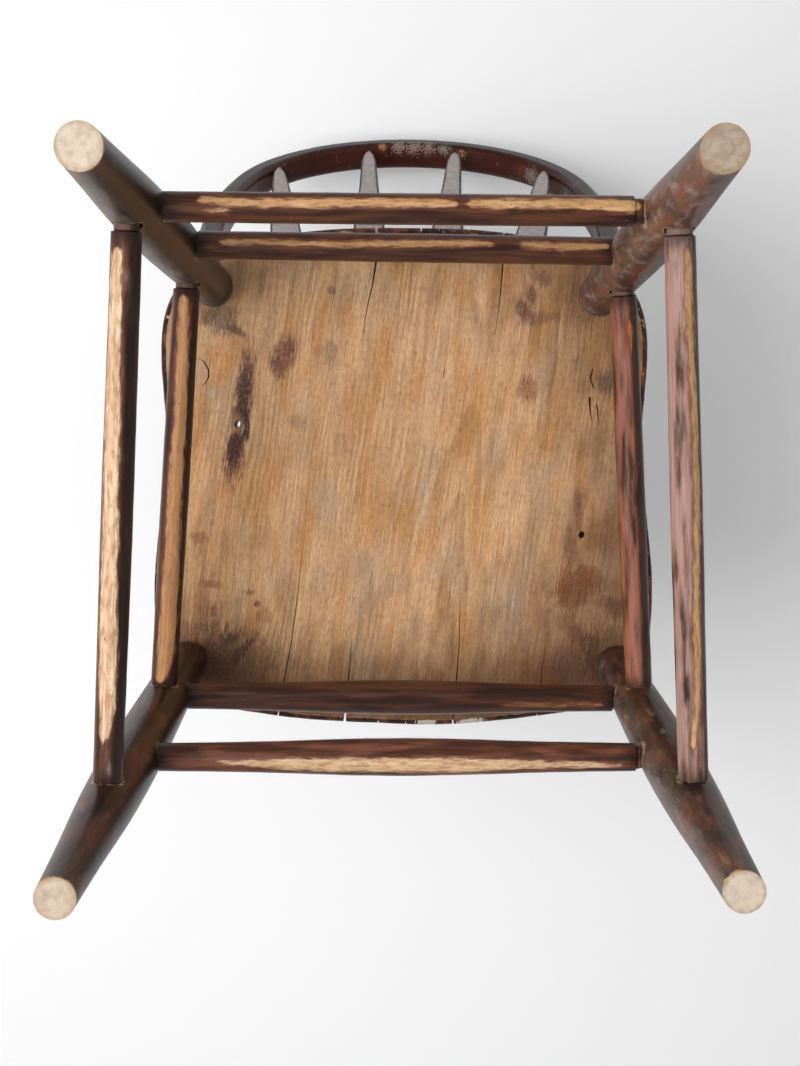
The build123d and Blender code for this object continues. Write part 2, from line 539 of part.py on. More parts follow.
def make_leg_wedges():
    """The hidden wedge in each leg's tenon, driven up against the end of the socket."""
    with BuildPart() as wedges:
        for place in LEG_PLACES.values():
            extrude(wedge_shape(place.plane, place.tenon_end, LEG_WEDGE_LONG, 0),
                    amount=LEG_WEDGE_BROAD / 2, both=True)
    return wedges


def make_bow_wedges():
    """The hidden wedge in each tenon of the bow."""
    with BuildPart() as wedges:
        for side in (1, -1):
            point, up = bow_foot(side)
            extrude(wedge_shape(plane_along(point, -up, BOW_PLANE.z_dir), BOW_TENON_LONG, BOW_WEDGE_LONG, 0),
                    amount=BOW_WEDGE_BROAD / 2, both=True)
    return wedges


def make_brads():
    """Thin iron brads, from the back of the bow through the spindles' tenons."""
    with BuildPart() as brads:
        for place in SPINDLE_PLACES.values():
            with Locations(Plane(origin=place.brad_head, z_dir=place.brad_in)):
                Cylinder(BRAD_DIA / 2, BRAD_LONG, align=(Align.CENTER, Align.CENTER, Align.MIN))
    return brads


os.makedirs("parts", exist_ok=True)
pieces = {"seat_plank": make_seat()}
for leg_name, leg_place in LEG_PLACES.items():
    pieces[leg_name] = make_leg(leg_name, leg_place)
for stretcher_name, stretcher_place in STRETCHER_PLACES.items():
    pieces[stretcher_name] = make_stretcher(stretcher_place)
pieces["bow"] = make_bow()
for spindle_name, spindle_place in SPINDLE_PLACES.items():
    pieces[spindle_name] = make_spindle(spindle_place)
pieces["leg_wedges"] = make_leg_wedges()
pieces["bow_wedges"] = make_bow_wedges()
pieces["spindle_brads"] = make_brads()
for piece_name, piece in pieces.items():
    piece.part.label = piece_name
    export_step(piece.part, "parts/" + piece_name + ".step")
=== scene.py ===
from math import pi, radians, sqrt

import bpy
from mathutils import Matrix, Vector


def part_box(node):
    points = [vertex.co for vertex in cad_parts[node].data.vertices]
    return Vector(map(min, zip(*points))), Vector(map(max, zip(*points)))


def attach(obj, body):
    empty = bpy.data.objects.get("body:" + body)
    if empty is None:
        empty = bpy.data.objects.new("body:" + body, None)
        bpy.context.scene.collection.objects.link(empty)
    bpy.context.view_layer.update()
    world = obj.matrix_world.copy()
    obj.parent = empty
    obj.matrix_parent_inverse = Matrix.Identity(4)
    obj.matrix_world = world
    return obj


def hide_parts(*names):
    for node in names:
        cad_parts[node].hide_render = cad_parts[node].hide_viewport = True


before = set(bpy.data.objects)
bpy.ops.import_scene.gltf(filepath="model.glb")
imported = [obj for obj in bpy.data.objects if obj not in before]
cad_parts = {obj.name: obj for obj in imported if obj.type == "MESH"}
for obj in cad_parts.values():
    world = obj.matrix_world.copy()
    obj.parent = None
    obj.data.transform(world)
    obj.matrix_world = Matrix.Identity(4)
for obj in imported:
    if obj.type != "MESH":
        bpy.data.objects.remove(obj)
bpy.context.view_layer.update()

# ---------------------------------------------------------------------------------------------------
# The seat is one thick pine plank. Its underside was planed and never painted, and has gone brown and
# grey; its top and edges carry old dark paint. It has shrunk and split along the grain from both ends,
# and two small knots have dropped out of it.

MM = 0.001
seat_low, seat_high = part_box("seat_plank")
SEAT_UNDER = seat_low.z / MM
SEAT_THICK = (seat_high.z - seat_low.z) / MM
SEAT_ORIGIN = Vector(((seat_low.x + seat_high.x) / 2, (seat_low.y + seat_high.y) / 2, seat_low.z))
SEAT_HALF_DEPTH = (seat_high.y - seat_low.y) / 2 / MM
PLANK_GRID = 2.3            # mm between the points of the plank's surface
PLANK_WAVE = 0.5            # how far hand planing and wear leave it from true
PLANK_WAVE_SIZE = 22.0
KNOT_HOLE_LONG = 6.4        # along the grain
KNOT_HOLE_WIDE = 5.0
KNOT_HOLES = [(142, 47, 0.0), (-151, -46, 0.1)]         # mm left, mm to the rear, and how it leans
KNOT_SIDES = 14
KNOT_TURN = (0.06, 0.3)     # how the knots lean to the rear and are turned, in radians
MERGE_WITHIN = 0.005        # points of the plank's surface nearer than this are one point
SMOOTH_BELOW = radians(35)  # edges flatter than this look rounded
# Each split: from its wide end to its tip, (mm left, mm to the rear, width, depth into the plank).
SPLITS = [
    [(24, 222, 2.6, 40), (24, 208, 1.9, 30), (24, 185, 1.5, 14), (27, 165, 1.1, 12), (31, 149, 0.9, 8),
     (35, 124, 0.3, 3)],
    [(-84, 222, 2.2, 40), (-84, 208, 1.5, 30), (-83, 185, 1.2, 14), (-81, 158, 0.9, 10),
     (-77, 124, 0.3, 3)],
    [(111, -222, 1.5, 40), (108, -203, 1.2, 18), (104, -181, 1.1, 12), (96, -139, 0.8, 8),
     (90, -95, 0.5, 5), (87, -58, 0.2, 2)],
    [(51, -222, 3.0, 40), (50, -206, 2.0, 34), (48, -182, 1.2, 12), (46, -163, 0.8, 8),
     (44, -138, 0.3, 3)],
    [(-44, -222, 1.6, 24), (-44, -206, 1.3, 20), (-46, -182, 1.0, 12), (-49, -138, 0.7, 7),
     (-49, -94, 0.2, 2)],
    [(-116, -222, 1.4, 24), (-117, -204, 1.1, 18), (-119, -181, 0.8, 10), (-123, -142, 0.2, 2)],
    [(22, -222, 1.2, 20), (21, -208, 0.5, 12)],
    [(-2, -222, 1.1, 20), (-3, -209, 0.4, 12)],
    [(-14, 222, 1.6, 40), (-14, 206, 0.5, 20)],
    [(-29, 222, 1.2, 40), (-29, 207, 0.4, 20)],
    [(-54, 222, 1.6, 40), (-54, 206, 0.5, 20)],
    [(-158, 72, 1.6, 8), (-158, 64, 1.4, 8), (-160, 52, 0.3, 3)],
    [(-164, 66, 1.2, 6), (-165, 56, 0.9, 6), (-166, 48, 0.2, 3)],
    [(-35, 97, 0.3, 2), (-34, 92, 0.9, 4), (-33, 88, 0.3, 2)],
    [(177, 104, 0.9, 6), (170, 101, 1.2, 6), (166, 94, 1.3, 6), (166, 87, 1.2, 6), (171, 80, 0.5, 6)],
    [(-160, 96, 0.8, 6), (-158, 88, 1.3, 6), (-161, 80, 1.0, 6), (-168, 77, 0.5, 6)],
]


def only(piece):
    """Selects this piece and nothing else."""
    bpy.ops.object.select_all(action="DESELECT")
    piece.select_set(True)
    bpy.context.view_layer.objects.active = piece


def shape(piece, kind, **settings):
    """Adds a modifier to the piece and applies it."""
    only(piece)
    modifier = piece.modifiers.new(kind.lower(), kind)
    for name, value in settings.items():
        setattr(modifier, name, value)
    bpy.ops.object.modifier_apply(modifier=modifier.name)


def settle(piece):
    """Puts the piece's place and turn into its mesh, and its object at the origin."""
    only(piece)
    bpy.ops.object.transform_apply(location=True, rotation=True, scale=True)


def cut_away(piece, cutter):
    """Takes the cutter's shape out of the piece, and deletes the cutter."""
    settle(cutter)
    shape(piece, "BOOLEAN", operation="DIFFERENCE", object=cutter, solver="MANIFOLD")
    bpy.data.objects.remove(cutter)


def roughen(piece, size, depth, seed):
    """Pushes the surface in and out at random by up to half the depth, in swells of that size, in mm."""
    texture = bpy.data.textures.new(piece.name + "_unevenness", "CLOUDS")
    texture.noise_scale = size * MM
    texture.noise_depth = 2
    anchor = bpy.data.objects.new(piece.name + "_anchor", None)
    bpy.context.scene.collection.objects.link(anchor)
    anchor.location = (seed, 2 * seed, -seed)
    bpy.context.view_layer.update()
    shape(piece, "DISPLACE", texture=texture, texture_coords="OBJECT", texture_coords_object=anchor,
          strength=depth * MM, mid_level=0.5)
    bpy.data.objects.remove(anchor)
    bpy.data.textures.remove(texture)


def split_blade(points):
    """A thin blade along a split's line, as wide and as deep at each point as the split is."""
    (x, y, width, depth), *rest = points
    bpy.ops.object.select_all(action="DESELECT")
    bpy.ops.mesh.primitive_plane_add(size=1, rotation=(pi / 2, 0, 0))
    blade = bpy.context.object
    start = SEAT_ORIGIN + Vector((x, y, 0)) * MM
    blade.scale = (width * MM, 2 * depth * MM, 1)
    blade.location = start
    settle(blade)
    bpy.ops.object.mode_set(mode="EDIT")
    bpy.ops.mesh.select_all(action="SELECT")
    for next_x, next_y, next_width, next_depth in rest:
        bpy.ops.mesh.extrude_region_move(
            TRANSFORM_OT_translate={"value": ((next_x - x) * MM, (next_y - y) * MM, 0)})
        bpy.ops.transform.resize(value=(next_width / width, 1, next_depth / depth))
        x, y, width, depth = next_x, next_y, next_width, next_depth
    bpy.ops.mesh.select_all(action="SELECT")
    bpy.ops.mesh.normals_make_consistent(inside=False)
    bpy.ops.object.mode_set(mode="OBJECT")
    return blade


seat = bpy.data.objects.new("plank_seat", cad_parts["seat_plank"].data.copy())
bpy.context.scene.collection.objects.link(seat)
only(seat)
bpy.ops.object.mode_set(mode="EDIT")
bpy.ops.mesh.select_all(action="SELECT")
bpy.ops.mesh.remove_doubles(threshold=MERGE_WITHIN * MM)
bpy.ops.object.mode_set(mode="OBJECT")
shape(seat, "REMESH", mode="VOXEL", voxel_size=PLANK_GRID * MM)
roughen(seat, PLANK_WAVE_SIZE, PLANK_WAVE, 1.3)
for x, y, lean in KNOT_HOLES:
    bpy.ops.object.select_all(action="DESELECT")
    bpy.ops.mesh.primitive_cylinder_add(
        vertices=KNOT_SIDES, radius=MM / 2, depth=2 * SEAT_THICK * MM,
        rotation=(KNOT_TURN[0], lean, KNOT_TURN[1]),
        location=SEAT_ORIGIN + Vector((x, y, SEAT_THICK / 2)) * MM)
    bpy.context.object.scale = (KNOT_HOLE_WIDE, KNOT_HOLE_LONG, 1)
    cut_away(seat, bpy.context.object)
for points in SPLITS:
    cut_away(seat, split_blade(points))
only(seat)
bpy.ops.object.shade_smooth_by_angle(angle=SMOOTH_BELOW)


def linear(hex_colour, alpha=1.0):
    """An sRGB hex colour as the linear colour that shaders take."""
    channels = [int(hex_colour[i:i + 2], 16) / 255 for i in (0, 2, 4)]
    return [c / 12.92 if c <= 0.04045 else ((c + 0.055) / 1.055) ** 2.4 for c in channels] + [alpha]


def add_node(tree, kind, sockets=None, **settings):
    """Adds a node with its settings, and gives each input a value, a socket or a node to link to."""
    node = tree.nodes.new("ShaderNode" + kind)
    for name, value in settings.items():
        setattr(node, name, value)
    for key, value in (sockets or {}).items():
        if isinstance(value, bpy.types.Node):
            value = next(out for out in value.outputs if out.enabled)
        if isinstance(value, bpy.types.NodeSocket):
            tree.links.new(value, node.inputs[key])
        else:
            node.inputs[key].default_value = value
    return node


def new_material(name):
    """An empty material and its node tree."""
    material = bpy.data.materials.new(name)
    material.use_nodes = True
    material.node_tree.nodes.clear()
    return material, material.node_tree


def put_on(piece, material):
    """Gives the piece this one material."""
    piece.data.materials.clear()
    piece.data.materials.append(material)


def local_mm(tree, origin, turn=(0, 0, 0)):
    """Places on a piece in mm, from its own origin and along its own axes."""
    coordinates = add_node(tree, "TexCoord")
    return add_node(tree, "Mapping", {
        "Vector": coordinates.outputs["Object"], "Location": origin, "Rotation": turn,
        "Scale": (MM, MM, MM)}, vector_type="TEXTURE")


def patches(tree, where, size, low, high, seed=0.0, detail=3.0):
    """Random patches of that size in mm: 0 where the noise is under low, 1 where it is over high."""
    spread = add_node(tree, "Mapping", {
        "Vector": where, "Location": (seed, 1.7 * seed, -seed), "Scale": [1 / s for s in size]})
    noise = add_node(tree, "TexNoise", {"Vector": spread, "Scale": 1.0, "Detail": detail})
    return add_node(tree, "MapRange", {0: noise, 1: low, 2: high}, interpolation_type="SMOOTHSTEP")


def lay(tree, under, colour, mask, share=1.0):
    """Lays a colour over a finish where the mask is 1, at most as strongly as the share."""
    part = add_node(tree, "Math", {0: mask, 1: share}, operation="MULTIPLY")
    return add_node(tree, "Mix", {0: part, 6: under, 7: linear(colour)}, data_type="RGBA")


def lay_patches(tree, under, colour, where, size, low, high, share=1.0, seed=0.0, detail=3.0):
    """Lays a colour over a finish in random patches."""
    return lay(tree, under, colour, patches(tree, where, size, low, high, seed, detail), share)


def shade_with(tree, under, noise, dark, light):
    """Darkens a finish to the dark share where the noise is 0 and lightens it to the light share at 1."""
    tone = add_node(tree, "MapRange", {0: noise, 3: dark, 4: light})
    return add_node(tree, "Mix", {0: 1.0, 6: under, 7: tone}, data_type="RGBA", blend_type="MULTIPLY")


def finish_surface(tree, colour, roughness, reflection, relief, relief_mm, relief_share):
    """Ends a wood's or a paint's material: its colour, how rough and glossy it is, and its fine relief."""
    bump = add_node(tree, "Bump", {"Strength": relief_share, "Distance": relief_mm * MM, "Height": relief})
    shader = add_node(tree, "BsdfPrincipled", {
        "Base Color": colour, "Roughness": roughness, "Normal": bump, "Specular IOR Level": reflection})
    add_node(tree, "OutputMaterial", {"Surface": shader})


# Bare flat-sawn white pine: growth rings 4 to 5 mm apart run front to back a little aslant, faint under
# long handling; fine fibres, a film of grey-brown dirt, short pale scratches, and no shine.
PINE = "BE946B"
PINE_LIGHT = "CBA27A"
PINE_ORANGE = "B47B42"
PINE_GREY = "A48E78"
PINE_LATE = "94683F"
PINE_RESIN = "6A4529"
PINE_DIRT = "7E5D43"
PINE_SHADOW = "5E3F2B"
SCRATCH_PALE = "DDC7A8"
GRAIN_SLANT = -0.13         # radians
RING_SPACING = 4.6
HEART_LEFT = -46.0          # the tree's heart, off the plank's middle and below its face
HEART_BELOW = 46.0
HEART_RISE = 0.06           # how much the heart line climbs along the plank
HEART_DRIFT = 14.0          # how far the heart wanders to either side
SCRATCHES = ((0.5, 37), (-0.9, 43), (1.4, 47))          # each set: its turn and its own random place

# Old marks on the underside, and a few wide dark blots by the left legs that are painted shade: (mm left, mm
# to the rear, half width, half length, turn, colour, strength).
# The renderer has room for about 65 of them in one material.
PLUM = "5A3434"
# The ink and soot colours also paint shade, in a few wide blots by the left legs.
INK_AND_SHADE = "2E2422"
RUST = "7A4122"
SOOT_AND_SHADE = "4A3F3A"
ASH = "A99A86"
CREAM = "C6A482"
BARK = "8A6850"
STAIN_DEEP = 60             # a mark goes this far into the plank
STAINS = [
    # a blot toward the rear left
    (103, 106, 11, 18, 0.35, PLUM, 0.75), (97, 115, 5, 9, 0, PLUM, 0.6), (108, 96, 7, 12, 0, PLUM, 0.5),
    # the long stain round the left knot
    (136, 74, 9, 42, 0.12, PLUM, 0.85), (137, 68, 6, 30, 0.12, INK_AND_SHADE, 0.75),
    (144, 24, 10, 30, 0.16, PLUM, 0.85), (144, 29, 6.5, 20, 0.16, INK_AND_SHADE, 0.85),
    (142, 48, 7, 9, 0, BARK, 0.8), (134, 46, 3, 16, 0.05, INK_AND_SHADE, 0.85),
    # the rear left corner; the soot and ink blots by the rear left leg are painted shade
    (143, 127, 9, 4, 0.5, PLUM, 0.8), (154, 138, 15, 15, 0, SOOT_AND_SHADE, 0.7), (166, 144, 12, 14, 0, INK_AND_SHADE, 0.5),
    # the rear right
    (-105, 79, 9, 12, -0.1, RUST, 0.7), (-100, 146, 7, 9, -0.3, PLUM, 0.75),
    (-107, 157, 5, 9, 0, PLUM, 0.7), (-112, 138, 16, 6, -0.2, PLUM, 0.5),
    (-117, 172, 7, 8, -0.6, PLUM, 0.6), (-150, 150, 20, 20, 0, PLUM, 0.5),
    # rust, ink and paler wood toward the front right corner
    (-148, -92, 18, 20, 0.1, RUST, 0.85), (-163, -84, 12, 14, 0.3, RUST, 0.7),
    (-138, -96, 7, 13, 0, RUST, 0.6), (-180, -74, 12, 11, 0.2, CREAM, 0.75),
    (-166, -66, 12, 8, 0, CREAM, 0.5), (-160, -112, 13, 6, 0.1, CREAM, 0.5),
    (-184, -110, 8, 10, 0.2, INK_AND_SHADE, 0.75), (-176, -104, 10, 6, 0, PLUM, 0.7),
    (-150, -133, 8, 10, -0.2, PLUM, 0.75), (-140, -122, 9, 8, 0.2, RUST, 0.5),
    (-164, -148, 6, 19, 0.1, INK_AND_SHADE, 0.95), (-158, -138, 6, 8, 0.3, INK_AND_SHADE, 0.7),
    (-168, -167, 9, 8, 0, RUST, 0.95), (-145, -160, 24, 20, 0, PLUM, 0.7),
    (-128, -168, 16, 12, 0, RUST, 0.5),
    # streaks past the right knot
    (-150, -28, 4, 22, -0.1, SOOT_AND_SHADE, 0.55), (-144, -58, 6, 24, -0.12, SOOT_AND_SHADE, 0.5),
    # drips toward the front left corner, and two wide ink blots there that are painted shade round the front
    # left leg
    (175, -50, 9, 6, 0, RUST, 0.5), (166, -90, 11, 4, 0.05, RUST, 0.6), (163, -113, 4, 7, 0, RUST, 0.7),
    (126, -107, 3, 3, 0, PLUM, 0.9), (132, -97, 4, 3, 0, PLUM, 0.6), (120, -117, 7, 8, 0, RUST, 0.45),
    (151, -138, 3, 8, 0.4, INK_AND_SHADE, 0.9), (145, -137, 2.5, 7, 0.5, INK_AND_SHADE, 0.9),
    (140, -150, 4, 14, 0.6, INK_AND_SHADE, 0.95), (134, -144, 2.5, 11, 0.7, INK_AND_SHADE, 0.8),
    (146, -152, 3, 9, 0.6, PLUM, 0.8), (146, -160, 44, 34, 0, INK_AND_SHADE, 0.62),
    (172, -156, 36, 34, 0, INK_AND_SHADE, 0.8), (168, -118, 10, 16, 0, SOOT_AND_SHADE, 0.45),
    # small and faint marks elsewhere
    (62, 110, 6, 11, 0, SOOT_AND_SHADE, 0.4), (73, 110, 5, 6, 0, RUST, 0.4), (62, 161, 3.6, 4, 0, PLUM, 0.6),
    (90, 50, 9, 7, 0, SOOT_AND_SHADE, 0.3), (163, 74, 4, 4, 0, ASH, 0.8), (172, 92, 9, 12, 0, ASH, 0.4),
    (-172, 84, 10, 12, -0.2, SOOT_AND_SHADE, 0.8), (66, -16, 12, 24, 0, ASH, 0.35),
    (-18, -20, 6, 24, 0.1, ASH, 0.35), (-88, -110, 22, 34, 0, ASH, 0.3),
    (-180, -150, 26, 26, 0, INK_AND_SHADE, 0.75), (-176, -60, 10, 60, 0, SOOT_AND_SHADE, 0.3),
]

# The old paint of the top and the edges: a dark brown oil paint, dull, and rubbed through to red primer
# and to the wood along the edges.
PAINT_DARK = "22150F"
PAINT_BROWN = "3F271D"
PAINT_RED = "6A3B28"
CHIP_PALE = "CFC6BB"
EDGE_TAN = "A67B54"
PAINT_TURN = -0.985         # the paint begins where the rounded edge has turned this far from straight down
EDGE_CHIPS = [(-21, 9), (-60, 15)]      # pale chips in the front edge: mm left, half width
EDGE_CHIP_SIZE = (9, 6)     # half as far in from the edge, and half as high
# The cleaner, better lit middle of the underside, outside which grime and painted shade darken the wood: its
# half size in mm, and how far it lies to the left and the rear of the plank's own middle, as a share of
# that.
CLEAN_LIT_HALF_WIDE, CLEAN_LIT_HALF_LONG = 212, 216
CLEAN_LIT_OFF = (0.14, 0.14)

bare_pine, tree = new_material("bare_pine_and_old_oil_paint")
place = local_mm(tree, SEAT_ORIGIN)
grain = add_node(tree, "Mapping", {"Vector": place, "Rotation": (0, 0, GRAIN_SLANT)})
along_grain = add_node(tree, "SeparateXYZ", {0: grain})
drift = patches(tree, grain, (70, 260, 60), 0.0, 1.0, seed=3)
drift_mm = add_node(tree, "MapRange", {0: drift, 3: -HEART_DRIFT - HEART_LEFT, 4: HEART_DRIFT - HEART_LEFT})
across = add_node(tree, "Math", {0: along_grain.outputs["X"], 1: drift_mm}, operation="ADD")
heart_depth = add_node(tree, "Math", {0: along_grain.outputs["Y"], 1: HEART_RISE, 2: HEART_BELOW},
                       operation="MULTIPLY_ADD")
from_heart = add_node(tree, "CombineXYZ", {"X": across, "Y": heart_depth})
ring_radius = add_node(tree, "VectorMath", {0: from_heart}, operation="LENGTH")
ring_count = add_node(tree, "Math", {0: ring_radius.outputs["Value"], 1: RING_SPACING}, operation="DIVIDE")
ring_share = add_node(tree, "Math", {0: ring_count}, operation="FRACT")
late_rise = add_node(tree, "MapRange", {0: ring_share, 1: 0.25, 2: 0.90}, interpolation_type="SMOOTHSTEP")
late_fall = add_node(tree, "MapRange", {0: ring_share, 1: 0.90, 2: 1.0, 3: 1.0, 4: 0.0})
late_wood = add_node(tree, "Math", {0: late_rise, 1: late_fall}, operation="MULTIPLY")
ring_shows = patches(tree, grain, (34, 110, 40), 0.38, 0.66, seed=9)
late_mask = add_node(tree, "Math", {0: late_wood, 1: ring_shows}, operation="MULTIPLY")

wood = lay_patches(tree, linear(PINE), PINE_LIGHT, grain, (11, 170, 30), 0.30, 0.70, seed=1, detail=4)
wood = lay_patches(tree, wood, PINE_ORANGE, grain, (24, 90, 40), 0.44, 0.64, share=0.6, seed=4, detail=5)
wood = lay_patches(tree, wood, PINE_GREY, grain, (34, 60, 40), 0.46, 0.72, share=0.55, seed=7, detail=6)
wood = lay(tree, wood, PINE_LATE, late_mask, 0.5)
dirt = patches(tree, grain, (13, 44, 20), 0.42, 0.74, seed=13, detail=9)
wood = lay(tree, wood, PINE_DIRT, dirt, 0.28)
wood = lay_patches(tree, wood, PINE_RESIN, grain, (0.55, 6, 3), 0.52, 0.68, share=0.42, seed=19, detail=2)
wood = lay_patches(tree, wood, PINE_RESIN, grain, (1.0, 80, 8), 0.60, 0.70, share=0.5, seed=21)
wood = lay_patches(tree, wood, PINE_RESIN, place, (1.6, 3.4, 3), 0.68, 0.78, share=0.5, seed=31)
for turn, seed in SCRATCHES:
    askew = add_node(tree, "Mapping", {"Vector": place, "Rotation": (0, 0, turn)})
    wood = lay_patches(tree, wood, SCRATCH_PALE, askew, (0.5, 15, 5), 0.70, 0.78, share=0.5,
                       seed=seed, detail=1)


def ragged_reach(tree, where, middle, size, turn, ragged):
    """How far a place lies from a mark's middle: 1 at the mark's size, give or take its ragged edge."""
    centred = add_node(tree, "Mapping", {
        "Vector": where, "Location": middle, "Rotation": (0, 0, turn), "Scale": size}, vector_type="TEXTURE")
    reach = add_node(tree, "VectorMath", {0: centred}, operation="LENGTH")
    return add_node(tree, "Math", {0: reach.outputs["Value"], 1: ragged}, operation="ADD")


ragged = patches(tree, grain, (1.3, 13, 6), 0.2, 0.8, seed=51, detail=6)
ragged_edge = add_node(tree, "MapRange", {0: ragged, 3: -0.4, 4: 0.4})
speckle = patches(tree, place, (1.6, 3.2, 3), 0.3, 0.7, seed=53, detail=4)
speckle_share = add_node(tree, "MapRange", {0: speckle, 3: 0.65, 4: 1.15})
for left, rear, half_wide, half_long, turn, colour, strength in STAINS:
    reach = ragged_reach(tree, place, (left, rear, 0), (half_wide, half_long, STAIN_DEEP), turn,
                         ragged_edge)
    mark = add_node(tree, "MapRange", {0: reach, 1: 1.25, 2: 0.55, 3: 0.0, 4: strength},
                    interpolation_type="SMOOTHSTEP")
    wood = lay(tree, wood, colour, mark, speckle_share)

# Toward the plank's edges, most of all at the front and the right, the wood is darker: part grime, part
# painted shade where less light falls.
side_reach = add_node(tree, "VectorMath", {0: add_node(tree, "Mapping", {
    "Vector": place, "Location": (-CLEAN_LIT_OFF[0], -CLEAN_LIT_OFF[1], 0),
    "Scale": (1 / CLEAN_LIT_HALF_WIDE, 1 / CLEAN_LIT_HALF_LONG, 0)})}, operation="LENGTH")
edge_darkening = add_node(tree, "Math", {0: dirt, 1: 0.18, 2: side_reach.outputs["Value"]}, operation="MULTIPLY_ADD")
grime_and_shade = add_node(tree, "MapRange", {0: edge_darkening, 1: 0.58, 2: 1.25, 3: 0.0, 4: 0.72},
                 interpolation_type="SMOOTHSTEP")
wood = lay(tree, wood, PINE_SHADOW, grime_and_shade)
fibre = patches(tree, grain, (1.1, 40, 6), 0.30, 0.70, seed=11, detail=4)
wood = shade_with(tree, wood, fibre, 0.80, 1.10)
mottle = patches(tree, place, (2.6, 5.0, 3), 0.25, 0.75, seed=17, detail=6)
wood = shade_with(tree, wood, mottle, 0.88, 1.09)

# The paint is rubbed through along the edges, and hardly at all on the flat of the top.
facing = add_node(tree, "NewGeometry")
facing_up = add_node(tree, "SeparateXYZ", {0: facing.outputs["Normal"]})
rubbed = add_node(tree, "MapRange", {0: facing_up.outputs["Z"], 1: 0.3, 2: 0.95, 3: 1.0, 4: 0.12})
paint = lay_patches(tree, linear(PAINT_DARK), PAINT_BROWN, place, (18, 26, 12), 0.38, 0.62, seed=5, detail=5)
paint = lay_patches(tree, paint, PAINT_RED, place, (9, 14, 6), 0.52, 0.64, share=rubbed, seed=15, detail=6)
paint = lay_patches(tree, paint, EDGE_TAN, place, (16, 7, 5), 0.62, 0.68, share=rubbed, seed=25, detail=6)
for left, half_wide in EDGE_CHIPS:
    reach = ragged_reach(tree, place, (left, -SEAT_HALF_DEPTH, 0), (half_wide, *EDGE_CHIP_SIZE), 0,
                         ragged_edge)
    chip = add_node(tree, "MapRange", {0: reach, 1: 1.05, 2: 0.9})
    paint = lay(tree, paint, CHIP_PALE, chip)
paint = lay_patches(tree, paint, EDGE_TAN, place, (2.2, 4, 3), 0.66, 0.72, share=rubbed, seed=33)
turned = add_node(tree, "Math", {0: ragged_edge, 1: 0.02, 2: facing_up.outputs["Z"]},
                  operation="MULTIPLY_ADD")
painted = add_node(tree, "MapRange", {0: turned, 1: PAINT_TURN, 2: PAINT_TURN + 0.012})
arris = add_node(tree, "MapRange", {0: turned, 1: PAINT_TURN - 0.01, 2: PAINT_TURN})
wood = lay_patches(tree, wood, EDGE_TAN, place, (12, 12, 12), 0.42, 0.56, share=arris, seed=27, detail=4)
surface = add_node(tree, "Mix", {0: painted, 6: wood, 7: paint}, data_type="RGBA")
roughness = add_node(tree, "MapRange", {0: painted, 3: 0.72, 4: 0.48})
relief = add_node(tree, "Math", {0: fibre, 1: late_mask}, operation="SUBTRACT")
finish_surface(tree, surface, roughness, 0.2, relief, 0.25, 0.5)
put_on(seat, bare_pine)
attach(seat, "root")
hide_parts("seat_plank")

# ---------------------------------------------------------------------------------------------------
# Four turned maple legs. Each was turned as one piece with its tenon, its foot sawn off flat when it
# stood on the floor. Old brown varnish over red stain is rubbed, dusty and chipped.

# Each leg: where its axis meets the seat and the floor, mm left and mm to the rear, and the diameters of
# its foot and its ankle.
LEGS = {
    "front_left_leg": ((185.5, -203.89), (213.87, -275.66), 27.0, 31.5),
    "front_right_leg": ((-183.5, -205.89), (-213.87, -268.66), 27.0, 31.5),
    "rear_left_leg": ((161.0, 114.11), (191.13, 182.9), 29.5, 33.5),
    "rear_right_leg": ((-163.5, 107.61), (-190.13, 182.9), 29.5, 33.5),
}
ANKLE_AT = 56.0             # mm up the leg
CALF_AT, CALF_DIA = 134.0, 39.6
SWELL_AT, SWELL_DIA = 217.0, 42.2
NECK_BELOW, NECK_DIA = 21.0, 35.4       # mm below the shoulder
SHOULDER_DIA = 34.0
LEG_TENON_DIA = 22.0
LEG_TENON_LONG = 23.5
# The leg's top, from just below its shoulder to the end of its tenon: (mm past the shoulder, diameter).
LEG_TOP = [(-6.0, SHOULDER_DIA + 0.4), (-1.2, SHOULDER_DIA), (-0.4, SHOULDER_DIA - 0.8),
           (0.0, SHOULDER_DIA - 2.4), (0.0, LEG_TENON_DIA), (12.0, LEG_TENON_DIA),
           (LEG_TENON_LONG, LEG_TENON_DIA)]
RINGS_BELOW = (17.5, 13.0)  # the cut rings, mm below the shoulder
RING_DEEP, RING_HALF = 0.6, 0.9
FOOT_SPARE = 12.0           # a leg is turned this much too long, and its foot then sawn off level
FOOT_TAPER = 1.0            # how much thinner the sawn off end would have been
FLOOR_WITHIN = 0.001        # points nearer the saw's cut than this lie on it
TURNED_SIDES = 56
RING_STEP = 5.0             # mm between the rings of a turned piece


def smooth_run(points, step):
    """Points every step along a smooth curve through (distance, size) points, as a turner blends sizes."""
    run = []
    for i in range(len(points) - 1):
        (a, size_a), (b, size_b) = points[i], points[i + 1]
        before = points[max(i - 1, 0)]
        after = points[min(i + 2, len(points) - 1)]
        rise_a = (size_b - before[1]) / (b - before[0]) * (b - a)
        rise_b = (after[1] - size_a) / (after[0] - a) * (b - a)
        count = max(1, round((b - a) / step))
        for k in range(count):
            t = k / count
            to_b = 3 * t ** 2 - 2 * t ** 3
            run.append((a + (b - a) * t, (1 - to_b) * size_a + (t ** 3 - 2 * t ** 2 + t) * rise_a
                        + to_b * size_b + (t ** 3 - t ** 2) * rise_b))
    return run + [points[-1]]


